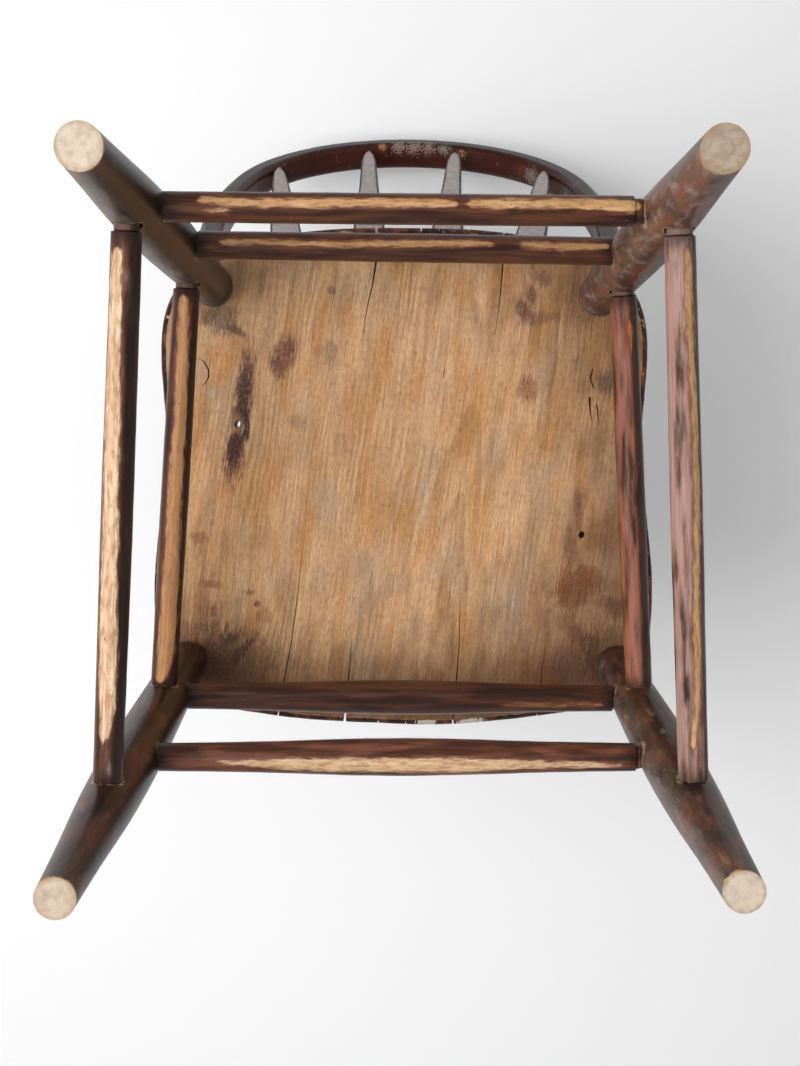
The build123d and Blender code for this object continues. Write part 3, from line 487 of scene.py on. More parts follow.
def turn_piece(name, profile):
    """A turned piece, drawn up ring by ring along Z to each (distance, diameter) of its profile."""
    (at, size), *rest = profile
    bpy.ops.object.select_all(action="DESELECT")
    bpy.ops.mesh.primitive_circle_add(
        vertices=TURNED_SIDES, radius=size / 2 * MM, fill_type="NGON", location=(0, 0, at * MM))
    piece = bpy.context.object
    piece.name = piece.data.name = name
    settle(piece)
    bpy.ops.object.mode_set(mode="EDIT")
    bpy.ops.mesh.select_all(action="SELECT")
    for next_at, next_size in rest:
        bpy.ops.mesh.extrude_region_move(TRANSFORM_OT_translate={"value": (0, 0, (next_at - at) * MM)})
        bpy.ops.transform.resize(value=(next_size / size, next_size / size, 1))
        at, size = next_at, next_size
    bpy.ops.mesh.select_all(action="SELECT")
    bpy.ops.mesh.normals_make_consistent(inside=False)
    bpy.ops.object.mode_set(mode="OBJECT")
    return piece


def axes_along(direction, up):
    """A turn whose Z runs along the direction and whose X lies as near up as it can."""
    z = direction.normalized()
    x = (up - z * up.dot(z)).normalized()
    return Matrix((x, z.cross(x), z)).transposed()


def stand(piece, start, turn):
    """Moves a piece that was made at the origin to its start, turned, and settles it there."""
    piece.location = start * MM
    piece.rotation_euler = turn.to_euler()
    settle(piece)


class Leg:
    """A leg's axis, from its foot to its socket in the seat, and its diameters along it, all in mm."""

    def __init__(self, name):
        (socket_x, socket_y), (foot_x, foot_y), self.foot_dia, ankle_dia = LEGS[name]
        self.name = name
        self.foot = Vector((foot_x, foot_y, 0))
        axis = Vector((socket_x, socket_y, SEAT_UNDER)) - self.foot
        self.up = axis.normalized()
        self.turn = axes_along(self.up, Vector((0, 1, 0)))
        lean = sqrt(1 - self.up.z ** 2)
        self.shoulder = axis.length - SHOULDER_DIA / 2 * lean / self.up.z
        self.sizes = [(-FOOT_SPARE, self.foot_dia - FOOT_TAPER), (0, self.foot_dia), (ANKLE_AT, ankle_dia),
                      (CALF_AT, CALF_DIA), (SWELL_AT, SWELL_DIA), (self.shoulder - NECK_BELOW, NECK_DIA)]

    def at_height(self, height):
        return self.foot + self.up * (height / self.up.z)

    def radius_at(self, height):
        along = height / self.up.z
        for (low, low_dia), (high, high_dia) in zip(self.sizes, self.sizes[1:]):
            if low <= along <= high:
                return (low_dia + (high_dia - low_dia) * (along - low) / (high - low)) / 2
        return NECK_DIA / 2

    def surface_at(self, height, along):
        """How far out along a stretcher the leg's surface clears the whole of the stretcher's flat end."""
        lean = abs(along.dot(self.up))
        return (self.radius_at(height) + STRETCHER_END_DIA / 2 * lean) / sqrt(1 - lean ** 2)


legs = {name: Leg(name) for name in LEGS}

# Each stretcher: for either end its leg, its height there and how far its body is let into the leg, and
# its diameter in the middle.
STRETCHERS = {
    "rear_lower_stretcher": (("rear_left_leg", 143.5, 3.0), ("rear_right_leg", 143.5, 0.3), 21.2),
    "rear_upper_stretcher": (("rear_left_leg", 257.5, 2.0), ("rear_right_leg", 257.5, 2.0), 21.2),
    "front_lower_stretcher": (("front_left_leg", 213.5, 3.0), ("front_right_leg", 213.5, 0.5), 28.0),
    "front_upper_stretcher": (("front_left_leg", 334.5, 3.0), ("front_right_leg", 334.5, 1.0), 28.0),
    "left_lower_stretcher": (("rear_left_leg", 120.5, 6.7), ("front_left_leg", 132.5, 4.0), 22.0),
    "left_upper_stretcher": (("rear_left_leg", 315.5, 6.7), ("front_left_leg", 315.5, 4.0), 22.0),
    "right_lower_stretcher": (("rear_right_leg", 120.5, 8.4), ("front_right_leg", 132.5, 4.0), 22.0),
    "right_upper_stretcher": (("rear_right_leg", 315.5, 8.4), ("front_right_leg", 315.5, 4.0), 22.0),
}
STRETCHER_END_DIA = 20.8
SOCKET_ROOM = 0.1           # room all round a tenon or a let-in end
TENON_DIA = 16.5
BORE_DIA = TENON_DIA + 2 * SOCKET_ROOM
BORE_PAST_AXIS = 5.0        # a bore goes this far past the leg's middle
DRILL_LONG = 40.0
DRILL_SIDES = 48

VARNISH_BLACK = "170D0A"
VARNISH_BROWN = "44251B"
STAIN_RED = "6C3C29"
DUST = "9C8E84"
MAPLE = "BE9468"
MAPLE_DARK = "8A5F40"
END_GRAIN = "C6B7A4"
END_GRAIN_DIRTY = "8E7D6B"
END_RIM = "8C6E50"
LIP_TAN = "A98C6A"
LIP = 1.8                   # how far round a socket the varnish has chipped off
FOOT_CHAMFER = 1.0          # the sawn foot's edge is worn off this far

# For each leg: how much of it shows red stain, how much dust lies on it, the side that is painted paler,
# part faded dust and part painted light from the key lamp on the sitter's left (the share to the rear,
# the share to the right), how much it has, how dirty its sawn end is, and its own random place.
LEG_FINISH = {
    "front_left_leg": (0.50, 0.38, (0.2, -1.0), 0.36, 0.70, 2.0),
    "front_right_leg": (0.60, 0.80, (-0.3, -0.9), 0.36, 0.40, 12.0),
    "rear_left_leg": (0.16, 0.42, (-0.70, -0.70), 0.80, 0.50, 22.0),
    "rear_right_leg": (0.80, 1.00, (-0.2, -0.9), 0.22, 0.95, 32.0),
}


def leg_varnish(leg, sockets, redness, dustiness, faded_lit_side, fading_and_light, foot_dirt, seed):
    """Dark spirit varnish over red stain on maple, worn to bare wood at the foot; rubbed satin gloss."""
    material, tree = new_material("worn_varnish_on_" + leg.name)
    place = local_mm(tree, leg.foot * MM, leg.turn.to_euler())
    everywhere = local_mm(tree, (0, 0, 0))
    world = add_node(tree, "SeparateXYZ", {0: everywhere})
    along = add_node(tree, "SeparateXYZ", {0: place})
    brown_low = 0.56 - 0.24 * redness
    coat = lay_patches(tree, linear(VARNISH_BLACK), VARNISH_BROWN, place, (10, 10, 36),
                       brown_low, brown_low + 0.20, seed=seed, detail=5)
    red_low = 0.80 - 0.50 * redness
    coat = lay_patches(tree, coat, STAIN_RED, place, (11, 11, 34), red_low, red_low + 0.22,
                       share=0.85, seed=seed + 3, detail=6)
    streaks = patches(tree, place, (1.6, 1.6, 46), 0.3, 0.7, seed=seed + 5, detail=4)
    coat = shade_with(tree, coat, streaks, 0.8, 1.14)
    dust_low = 0.80 - 0.34 * dustiness
    dust = patches(tree, place, (9, 9, 17), dust_low, dust_low + 0.26, seed=seed + 8, detail=8)
    # Each leg's flank toward the key lamp, on the sitter's left, is painted paler with dust: part faded
    # dust, part painted light.
    toward = add_node(tree, "VectorMath", {0: place, 1: (*faded_lit_side, 0)}, operation="DOT_PRODUCT")
    faded_and_lit = add_node(tree, "MapRange", {0: toward.outputs["Value"], 1: 2.0, 2: 17.0, 3: 0.0, 4: fading_and_light},
                     interpolation_type="SMOOTHSTEP")
    rubbed = patches(tree, place, (6, 6, 20), 0.32, 0.60, seed=seed + 14, detail=7)
    rubbed_share = add_node(tree, "MapRange", {0: rubbed, 3: 0.35, 4: 1.0})
    faded_and_lit = add_node(tree, "Math", {0: faded_and_lit, 1: rubbed_share}, operation="MULTIPLY")
    low_down = add_node(tree, "MapRange", {0: along.outputs["Z"], 1: 95.0, 2: 10.0, 3: 0.0, 4: 0.12})
    dust_part = add_node(tree, "Math", {0: dust, 1: 0.1 + 0.55 * dustiness, 2: low_down},
                         operation="MULTIPLY_ADD")
    dust_part = add_node(tree, "Math", {0: dust_part, 1: faded_and_lit}, operation="ADD", use_clamp=True)
    grit = patches(tree, place, (1.2, 1.2, 2.4), 0.25, 0.75, seed=seed + 9, detail=5)
    grit_share = add_node(tree, "MapRange", {0: grit, 3: 0.25, 4: 1.1})
    dust_part = add_node(tree, "Math", {0: dust_part, 1: grit_share}, operation="MULTIPLY")
    coat = lay(tree, coat, DUST, dust_part)
    chipped = patches(tree, place, (3, 3, 3), 0.42, 0.56, seed=seed + 11, detail=5)
    for start, inwards in sockets:
        out = add_node(tree, "VectorMath", {0: everywhere, 1: start}, operation="SUBTRACT")
        ahead = add_node(tree, "VectorMath", {0: out, 1: inwards}, operation="DOT_PRODUCT")
        this_side = add_node(tree, "MapRange", {0: ahead.outputs["Value"], 1: 0.0, 2: 2.0, 3: 0.0, 4: 0.8})
        out = add_node(tree, "VectorMath", {0: out, 1: inwards}, operation="CROSS_PRODUCT")
        out = add_node(tree, "VectorMath", {0: out}, operation="LENGTH")
        lip = add_node(tree, "MapRange", {
            0: out.outputs["Value"], 1: STRETCHER_END_DIA / 2 + LIP, 2: STRETCHER_END_DIA / 2 + 0.5, 3: 0.0,
            4: this_side})
        coat = lay(tree, coat, LIP_TAN, lip, chipped)
    coat = lay_patches(tree, coat, MAPLE_DARK, place, (1.8, 1.8, 7), 0.745, 0.775, seed=seed + 10)

    # Round the foot the finish has worn off to a ragged line, and the sawn end is dirty end grain.
    ragged = patches(tree, place, (4, 4, 5), 0.3, 0.7, seed=seed + 12, detail=5)
    rim_line = add_node(tree, "MapRange", {0: ragged, 3: 0.6, 4: 3.4})
    below_line = add_node(tree, "Math", {0: rim_line, 1: world.outputs["Z"]}, operation="SUBTRACT")
    rim = add_node(tree, "MapRange", {0: below_line, 1: -0.3, 2: 0.8})
    surface = lay(tree, coat, MAPLE, rim)
    sawn = add_node(tree, "MapRange", {0: world.outputs["Z"], 1: FOOT_CHAMFER + 0.4, 2: FOOT_CHAMFER - 0.4})
    dirt = patches(tree, place, (6, 6, 6), 0.35, 0.80, seed=seed + 16, detail=8)
    dirt_part = add_node(tree, "MapRange", {0: dirt, 3: foot_dirt - 0.25, 4: foot_dirt + 0.25})
    end = lay(tree, linear(END_GRAIN), END_GRAIN_DIRTY, dirt_part)
    pores = patches(tree, place, (0.7, 0.7, 5), 0.3, 0.7, seed=seed + 18, detail=3)
    end = shade_with(tree, end, pores, 0.9, 1.05)
    off_axis = add_node(tree, "CombineXYZ", {"X": along.outputs["X"], "Y": along.outputs["Y"]})
    out = add_node(tree, "VectorMath", {0: off_axis}, operation="LENGTH")
    at_rim = add_node(tree, "MapRange", {
        0: out.outputs["Value"], 1: leg.foot_dia / 2 - 3.2, 2: leg.foot_dia / 2 - 0.4, 3: 0.0, 4: 0.75})
    rim_share = add_node(tree, "MapRange", {0: ragged, 3: 0.25, 4: 1.0})
    end = lay(tree, end, END_RIM, at_rim, rim_share)
    surface = add_node(tree, "Mix", {0: sawn, 6: surface, 7: end}, data_type="RGBA")
    bare_all = add_node(tree, "Math", {0: rim, 1: sawn}, operation="MAXIMUM")
    gloss = add_node(tree, "MapRange", {0: dust_part, 1: 0.0, 2: 0.7, 3: 0.32, 4: 0.7})
    roughness = add_node(tree, "Mix", {0: bare_all, 2: gloss, 3: 0.8}, data_type="FLOAT")
    relief = add_node(tree, "Math", {0: streaks, 1: grit}, operation="ADD")
    finish_surface(tree, surface, roughness, 0.4, relief, 0.15, 0.35)
    return material


for name, leg in legs.items():
    profile = smooth_run(leg.sizes, RING_STEP)
    for below in RINGS_BELOW:
        at = leg.shoulder - below
        size = SHOULDER_DIA + (NECK_DIA - SHOULDER_DIA) * below / NECK_BELOW
        profile += [(at - RING_HALF, size), (at, size - 2 * RING_DEEP), (at + RING_HALF, size)]
    profile += [(leg.shoulder + past, size) for past, size in LEG_TOP]
    piece = turn_piece("turned_" + name, profile)
    stand(piece, leg.foot, leg.turn)
    only(piece)
    bpy.ops.object.mode_set(mode="EDIT")
    bpy.ops.mesh.select_all(action="SELECT")
    bpy.ops.mesh.bisect(plane_co=(0, 0, 0), plane_no=(0, 0, 1), use_fill=True, clear_inner=True,
                        threshold=FLOOR_WITHIN * MM)
    bpy.ops.object.mode_set(mode="OBJECT")
    sockets = []
    for end_a, end_b, _ in STRETCHERS.values():
        for (here, height, sunk), (there, there_height, _) in ((end_a, end_b), (end_b, end_a)):
            if here == name:
                start = leg.at_height(height)
                inwards = (legs[there].at_height(there_height) - start).normalized()
                sockets.append((start, inwards))
                counterbore = leg.surface_at(height, inwards) - sunk - SOCKET_ROOM
                for radius, bottom in ((BORE_DIA / 2, -BORE_PAST_AXIS),
                                       (STRETCHER_END_DIA / 2 + SOCKET_ROOM, counterbore)):
                    bpy.ops.object.select_all(action="DESELECT")
                    bpy.ops.mesh.primitive_cylinder_add(
                        vertices=DRILL_SIDES, radius=radius * MM, depth=DRILL_LONG * MM)
                    drill = bpy.context.object
                    drill.location = (start + inwards * (DRILL_LONG / 2 + bottom)) * MM
                    drill.rotation_euler = axes_along(inwards, Vector((0, 0, 1))).to_euler()
                    cut_away(piece, drill)
    only(piece)
    bpy.ops.object.shade_smooth_by_angle(angle=SMOOTH_BELOW)
    put_on(piece, leg_varnish(leg, sockets, *LEG_FINISH[name]))
    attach(piece, "root")
    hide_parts(name)

# ---------------------------------------------------------------------------------------------------
# Eight turned hickory stretchers, the two in front fatter in the middle. Shoes and hands have worn the
# varnish off each in long pale streaks along its underside, edged with red stain.

COLLAR_SHARE = 0.84         # a collar's diameter as a share of the end's
SWELL_HALF, SWELL_LEFT = 120.0, 0.22    # at this many mm off the middle, this share of the swelling is left
TENON_SHORT = 1.0           # a tenon ends this far short of the bottom of its bore
END_EASE = 1.0              # the full thickness is reached this far in from an end or a collar
STEP_SLOPE = 0.01           # a square step in a profile takes up this much of its length
BAR_WAVE_SIZE, BAR_WAVE = 18.0, 0.4     # how wear and the turner's hand leave a bar from true
COAT_DARK = "2C1712"
COAT_BROWN = "54301F"
# Near black: the varnish beside the collars, and painted shade on the side stretchers' right sides.
END_BLACK_AND_SHADE = "1B0F0B"
RESIN_ORANGE = "B85E2A"
HICKORY_BROWN = "8E6242"
FRINGE_RED = "6E3A26"
COLLAR_GRIME = "56443A"

# Worn streaks on the underside: (mm along from the left or rear end, mm across, half width). Across is
# to the front on the front and rear stretchers, and to the left on the side ones.
WORN = {
    "rear_lower_stretcher": [
        [(38, -3, -3), (46, -3.9, 2.2), (75, -2.6, 2.6), (111, -2.6, 2.7), (179, -3.4, 2.6),
         (214, -3.4, 2.2), (221, -3.5, -1.5), (227, -3.6, 2.4), (259, -3.8, 2.8), (300, -3.9, 3.4),
         (322, -3.4, 3.8), (336, -2.8, 3.6), (345, -2.6, -3)],
        [(40, 3, -3), (48, 3, 1.1), (60, 3, 1.3), (70, 3, -3)]],
    "rear_upper_stretcher": [
        [(30, -2.5, -3), (40, -2.3, 1.6), (66, -2.4, 1.8), (96, -1.6, 1.9), (151, -2.4, 2.1),
         (199, -3.6, 2.3), (234, -3.6, 1.5), (244, -3.6, -1.5), (254, -3.6, -1.5), (262, -3.5, 1.9),
         (288, -2.6, 2.3), (320, -3.2, 2), (330, -3.2, -3)]],
    "front_lower_stretcher": [
        [(48, 0.8, -3), (66, 1.2, 0.8), (90, 1.8, 2.8), (125, 2.8, 4.7), (180, 3.0, 5.4),
         (235, 3.1, 5.7), (272, 3.1, 4.2), (317, 3.3, 2.5), (355, 3.4, 1.6), (374, 3.4, -3)]],
    "front_upper_stretcher": [
        [(262, 3.4, -3), (280, 3.4, 0.7), (300, 3.5, 1.0), (323, 3.5, 1.0), (350, 3.5, 0.8),
         (358, 3.5, -3)]],
    "left_lower_stretcher": [
        [(28, 4, -3), (36, 4.4, 3.4), (67, 4.6, 4.6), (134, 4.2, 5.2), (201, 3.2, 5.4), (270, 2.2, 5.8),
         (325, 0.9, 6.0), (345, 0.6, 5.0), (364, 1.5, 2.6), (372, 2.0, -1.0), (384, 2.0, -3)]],
    "left_upper_stretcher": [
        [(22, 0.5, -3), (30, 0.6, 3.0), (61, -0.4, 4.0), (108, -1.4, 4.6), (187, -1.2, 5.4),
         (267, -1.4, 6.2), (310, -1.0, 6.2), (323, 0.4, 4.8), (332, 1.6, 3.0), (340, 2.0, -3)]],
    "right_lower_stretcher": [
        [(24, -3.6, -3), (34, -3.6, 1.8), (64, -3.7, 2.1), (130, -5.2, 2.2), (184, -6.2, 2.2),
         (240, -4.6, 2.2), (293, -3.1, 2.2), (335, -2.8, 2.1), (366, 0.6, 1.8), (374, 0.8, -3)]],
    "right_upper_stretcher": [
        [(34, -3, -3), (44, -3, 1.0), (62, -3.4, 0.6), (76, -3.6, -3)]],
}
# For each stretcher: how much stain shows and its colour, how much dust lies on it, the colours of the
# bare wood, the lengths of its collars and how grimy they are, the side beyond which its coat is painted
# near black as shade, away from the key lamp (mm across, as above), and its own random place.
STRETCHER_FINISH = {
    "rear_lower_stretcher": (0.55, "74402A", 0.40, ("B08656", "BF9A6E"), (0.0, 4.8), 0.0, -20.0, 41.0),
    "rear_upper_stretcher": (0.65, "6C3C28", 0.35, ("A0784C", "B08A60"), (0.0, 0.0), 0.0, -20.0, 51.0),
    "front_lower_stretcher": (0.85, "7C4A38", 0.40, ("B99874", "C9AB88"), (0.0, 2.7), 0.0, -20.0, 61.0),
    "front_upper_stretcher": (0.60, "623A30", 0.38, ("8A5E40", "9A6A45"), (0.0, 0.0), 0.0, -20.0, 71.0),
    "left_lower_stretcher": (0.60, "6E4434", 0.70, ("B28F6E", "CDB294"), (7.0, 0.0), 0.70, -4.2, 81.0),
    "left_upper_stretcher": (0.60, "6E3E2A", 0.45, ("96683F", "AC7D50"), (7.0, 0.0), 0.60, -6.6, 91.0),
    "right_lower_stretcher": (1.14, "A07C70", 0.75, ("A9835B", "BB956C"), (8.0, 0.0), 0.70, -7.2, 101.0),
    "right_upper_stretcher": (1.08, "925A46", 0.55, ("A85F32", "B46834"), (8.0, 0.0), 0.70, -3.0, 111.0),
}
CURVE_REACH = 12.0          # a streak's curves stand for this many mm to either side of nothing


def worn_streak(tree, along_share, across, length, points):
    """How far inside a worn streak a place lies, in mm: above 0 inside it."""
    edges = []
    for column in (1, 2):
        curve = add_node(tree, "FloatCurve", {1: along_share})
        line = curve.mapping.curves[0]
        values = [(p[0] / length, (p[column] / CURVE_REACH + 1) / 2) for p in points]
        line.points[0].location = (0.0, values[0][1])
        line.points[1].location = (1.0, values[-1][1])
        for share, value in values:
            line.points.new(share, value)
        curve.mapping.update()
        edges.append(add_node(tree, "MapRange", {0: curve, 3: -CURVE_REACH, 4: CURVE_REACH}))
    centre, half = edges
    off = add_node(tree, "Math", {0: across, 1: centre}, operation="SUBTRACT")
    away = add_node(tree, "Math", {0: off}, operation="ABSOLUTE")
    return add_node(tree, "Math", {0: half, 1: away}, operation="SUBTRACT")


def stretcher_varnish(name, start, turn, length, shoulders, finish):
    """The legs' varnish over red stain, worn through in streaks to silky pale hickory."""
    redness, stain, dustiness, (bare_brown, bare_pale), collars, collar_grime, shaded_side, seed = finish
    material, tree = new_material("worn_varnish_on_" + name)
    place = local_mm(tree, start * MM, turn.to_euler())
    spot = add_node(tree, "SeparateXYZ", {0: place})
    along_share = add_node(tree, "Math", {0: spot.outputs["Z"], 1: length}, operation="DIVIDE")
    coat = lay_patches(tree, linear(COAT_DARK), COAT_BROWN, place, (5, 5, 60), 0.34, 0.66,
                       seed=seed, detail=4)
    red_low = 0.86 - 0.5 * redness
    coat = lay_patches(tree, coat, stain, place, (7, 7, 46), red_low, red_low + 0.26,
                       share=0.9, seed=seed + 3, detail=6)
    streaks = patches(tree, place, (1.0, 1.0, 40), 0.3, 0.7, seed=seed + 5, detail=4)
    coat = shade_with(tree, coat, streaks, 0.78, 1.14)
    dust_low = 0.88 - 0.5 * dustiness
    dust = patches(tree, place, (6, 6, 18), dust_low, dust_low + 0.3, seed=seed + 8, detail=8)
    dust_part = add_node(tree, "Math", {0: dust, 1: 0.42}, operation="MULTIPLY")
    coat = lay(tree, coat, DUST, dust_part)
    coat = lay_patches(tree, coat, bare_brown, place, (1.4, 1.4, 6), 0.74, 0.77, seed=seed + 10)

    coarse = patches(tree, place, (2.2, 2.2, 12), 0.2, 0.8, seed=seed + 12, detail=6)
    coarse_mm = add_node(tree, "MapRange", {0: coarse, 3: -1.5, 4: 1.5})
    fine = patches(tree, place, (0.8, 0.8, 5), 0.2, 0.8, seed=seed + 13, detail=3)
    ragged_mm = add_node(tree, "Math", {0: fine, 1: 0.9, 2: coarse_mm}, operation="MULTIPLY_ADD")
    below = add_node(tree, "MapRange", {0: spot.outputs["X"], 1: -2.0, 2: 1.0})
    inside, *others = [worn_streak(tree, along_share, spot.outputs["Y"], length, points)
                       for points in WORN[name]]
    for depth in others:
        inside = add_node(tree, "Math", {0: inside, 1: depth}, operation="MAXIMUM")
    inside = add_node(tree, "Math", {0: inside, 1: ragged_mm}, operation="ADD")
    fringe = add_node(tree, "MapRange", {0: inside, 1: -2.2, 2: 0.0, 3: 0.0, 4: 0.7})
    fringe = add_node(tree, "Math", {0: fringe, 1: below}, operation="MULTIPLY")
    coat = lay(tree, coat, FRINGE_RED, fringe)
    dark_rim = add_node(tree, "MapRange", {0: inside, 1: -0.6, 2: 0.0, 3: 0.0, 4: 0.4})
    coat = lay(tree, coat, COAT_DARK, dark_rim, below)

    # Grime on the collars, varnish gone black beside them, and a dark groove where they end.
    for shoulder, collar in zip(shoulders, collars):
        off = add_node(tree, "Math", {0: spot.outputs["Z"], 1: shoulder}, operation="SUBTRACT")
        away = add_node(tree, "Math", {0: off}, operation="ABSOLUTE")
        on_collar = add_node(tree, "MapRange", {
            0: away, 1: collar, 2: collar - 0.6, 3: 0.0, 4: collar_grime if collar else 0.0})
        coat = lay(tree, coat, COLLAR_GRIME, on_collar)
        off_collar = add_node(tree, "MapRange", {0: away, 1: collar - 0.6, 2: collar})
        past_collar = add_node(tree, "Math", {0: away, 1: collar}, operation="SUBTRACT")
        darkened = add_node(tree, "Math", {0: coarse_mm, 1: 2.6, 2: past_collar}, operation="MULTIPLY_ADD")
        darkened = add_node(tree, "MapRange", {0: darkened, 1: 13.0, 2: 3.0, 3: 0.0, 4: 0.7})
        coat = lay(tree, coat, END_BLACK_AND_SHADE, darkened, off_collar)
        groove_near = add_node(tree, "Math", {0: past_collar}, operation="ABSOLUTE")
        groove = add_node(tree, "MapRange", {0: groove_near, 1: 1.0, 2: 0.4, 3: 0.0, 4: 0.8})
        coat = lay(tree, coat, COAT_DARK, groove)
    # The side stretchers are painted near black on their right, away from the key lamp, as painted shade.
    from_side = add_node(tree, "Math", {0: coarse_mm, 1: 0.5, 2: spot.outputs["Y"]},
                         operation="MULTIPLY_ADD")
    painted_side_shade = add_node(tree, "MapRange", {
        0: from_side, 1: shaded_side + 1.8, 2: shaded_side - 1.2, 3: 0.0, 4: 0.82},
        interpolation_type="SMOOTHSTEP")
    coat = lay(tree, coat, END_BLACK_AND_SHADE, painted_side_shade)

    bare_mask = add_node(tree, "MapRange", {0: inside, 1: -0.8, 2: 1.9}, interpolation_type="SMOOTHSTEP")
    bare_mask = add_node(tree, "Math", {0: bare_mask, 1: below}, operation="MULTIPLY")
    bare = lay_patches(tree, linear(bare_brown), bare_pale, place, (2.2, 2.2, 30), 0.35, 0.65,
                       seed=seed + 14, detail=5)
    bare = lay_patches(tree, bare, HICKORY_BROWN, place, (0.9, 0.9, 26), 0.58, 0.72,
                       share=0.5, seed=seed + 16)
    bare = lay_patches(tree, bare, HICKORY_BROWN, place, (2.4, 2.4, 9), 0.44, 0.70,
                       share=0.7, seed=seed + 17, detail=8)
    bare = lay_patches(tree, bare, COAT_BROWN, place, (0.8, 0.8, 5), 0.64, 0.74, seed=seed + 18)
    surface = add_node(tree, "Mix", {0: bare_mask, 6: coat, 7: bare}, data_type="RGBA")
    surface = lay_patches(tree, surface, RESIN_ORANGE, place, (1.2, 1.2, 4), 0.66, 0.72,
                          share=fringe, seed=seed + 19)
    gloss = add_node(tree, "MapRange", {0: dust_part, 1: 0.0, 2: 0.4, 3: 0.30, 4: 0.6})
    roughness = add_node(tree, "Mix", {0: bare_mask, 2: gloss, 3: 0.55}, data_type="FLOAT")
    relief = add_node(tree, "Math", {0: streaks, 1: bare_mask}, operation="SUBTRACT")
    finish_surface(tree, surface, roughness, 0.3, relief, 0.2, 0.4)
    return material


def stretcher_end(shoulder, inwards, collar):
    """A stretcher's end from its flat face inwards (1 or -1 along it): an eased edge, or a thin collar."""
    steps = [(0, STRETCHER_END_DIA - 1.0), (0.5, STRETCHER_END_DIA - 0.2)]
    if collar:
        collar_dia = STRETCHER_END_DIA * COLLAR_SHARE
        steps = [(0, collar_dia - 1.0), (0.4, collar_dia), (collar - 0.5, collar_dia),
                 (collar, collar_dia - 0.8), (collar + 0.5, STRETCHER_END_DIA - 0.4)]
    return [(shoulder + inwards * step, dia) for step, dia in steps]


for name, (end_a, end_b, middle_dia) in STRETCHERS.items():
    collar_a, collar_b = STRETCHER_FINISH[name][4]
    start, stop = [legs[leg].at_height(height) for leg, height, _ in (end_a, end_b)]
    along = (stop - start).normalized()
    length = (stop - start).length
    reach_a, reach_b = [legs[leg].surface_at(height, along) - sunk for leg, height, sunk in (end_a, end_b)]
    near, far = reach_a, length - reach_b
    part_swollen = STRETCHER_END_DIA + (middle_dia - STRETCHER_END_DIA) * SWELL_LEFT
    tenon_end = BORE_PAST_AXIS - TENON_SHORT
    profile = [(-tenon_end, TENON_DIA), (near - STEP_SLOPE, TENON_DIA)]
    profile += stretcher_end(near, 1, collar_a)
    profile += smooth_run([
        (near + collar_a + END_EASE, STRETCHER_END_DIA), (length / 2 - SWELL_HALF, part_swollen),
        (length / 2, middle_dia),
        (length / 2 + SWELL_HALF, part_swollen), (far - collar_b - END_EASE, STRETCHER_END_DIA)], RING_STEP)
    profile += stretcher_end(far, -1, collar_b)[::-1]
    profile += [(far + STEP_SLOPE, TENON_DIA), (length + tenon_end, TENON_DIA)]
    piece = turn_piece("turned_" + name, profile)
    turn = axes_along(along, Vector((0, 0, -1)))
    roughen(piece, BAR_WAVE_SIZE, BAR_WAVE, STRETCHER_FINISH[name][-1])
    stand(piece, start, turn)
    only(piece)
    bpy.ops.object.shade_smooth_by_angle(angle=SMOOTH_BELOW)
    put_on(piece, stretcher_varnish(name, start, turn, length, (near, far), STRETCHER_FINISH[name]))
    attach(piece, "root")
    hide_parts(name)

# ---------------------------------------------------------------------------------------------------
# The bow is one ash bar, steamed and bent, and the four spindles are ash too, shaved flat into blades
# above the seat. All carry the dark paint of the seat; the spindles' faces are pale grey.

BOW_ORIGIN = Vector((-4, 100, 452))
BOW_HEART = (0, 70, 190)    # mm left, to the rear and up from the bow's origin: the middle of its hoop
PAINT_BLACK = "1C0F0B"
PAINT_UMBER = "35211A"
PAINT_RED_BROWN = "4C2118"
# Pale grey crust: broken paint, and partly painted glints on it.
CRUST_AND_GLINT = "8A7A70"
CRUST_RED = "5C2C22"
# Where the paint of the bow has chipped or broken up, its grey crusts also standing for painted glints on
# the broken paint: (mm left, to the rear, up, reach, colour).
BOW_CHIPS = [
    (30, 180, 387, 4, EDGE_TAN), (12, 180, 388, 7, CRUST_AND_GLINT), (-4, 180, 389, 8, CRUST_AND_GLINT),
    (-20, 179, 389, 7, CRUST_AND_GLINT), (-36, 177, 386, 6, CRUST_AND_GLINT), (-56, 171, 382, 4, EDGE_TAN),
    (-117, 152, 348, 7, CRUST_RED), (-128, 145, 338, 8, CRUST_AND_GLINT), (-138, 136, 326, 8, CRUST_AND_GLINT),
    (-148, 128, 312, 9, CRUST_RED), (-158, 114, 287, 8, CRUST_AND_GLINT),
]

bow_paint, tree = new_material("dark_oil_paint_on_bent_ash")
place = local_mm(tree, BOW_ORIGIN * MM)
facing = add_node(tree, "NewGeometry")
coat = lay_patches(tree, linear(PAINT_BLACK), PAINT_UMBER, place, (9, 9, 40), 0.35, 0.65, seed=3, detail=4)
inwards = add_node(tree, "VectorMath", {0: BOW_HEART, 1: place}, operation="SUBTRACT")
inwards = add_node(tree, "VectorMath", {0: inwards}, operation="NORMALIZE")
inner = add_node(tree, "VectorMath", {0: inwards, 1: facing.outputs["Normal"]}, operation="DOT_PRODUCT")
inner_part = add_node(tree, "MapRange", {0: inner.outputs["Value"], 1: 0.30, 2: 0.80, 3: 0.0, 4: 0.7})
coat = lay(tree, coat, PAINT_RED_BROWN, inner_part)
dust = patches(tree, place, (5, 5, 9), 0.62, 0.80, seed=9, detail=8)
coat = lay(tree, coat, DUST, dust, 0.4)
broken = patches(tree, place, (1.5, 1.5, 2.2), 0.25, 0.75, seed=11, detail=5)
broken_part = add_node(tree, "MapRange", {0: broken, 3: -1.0, 4: 0.9})
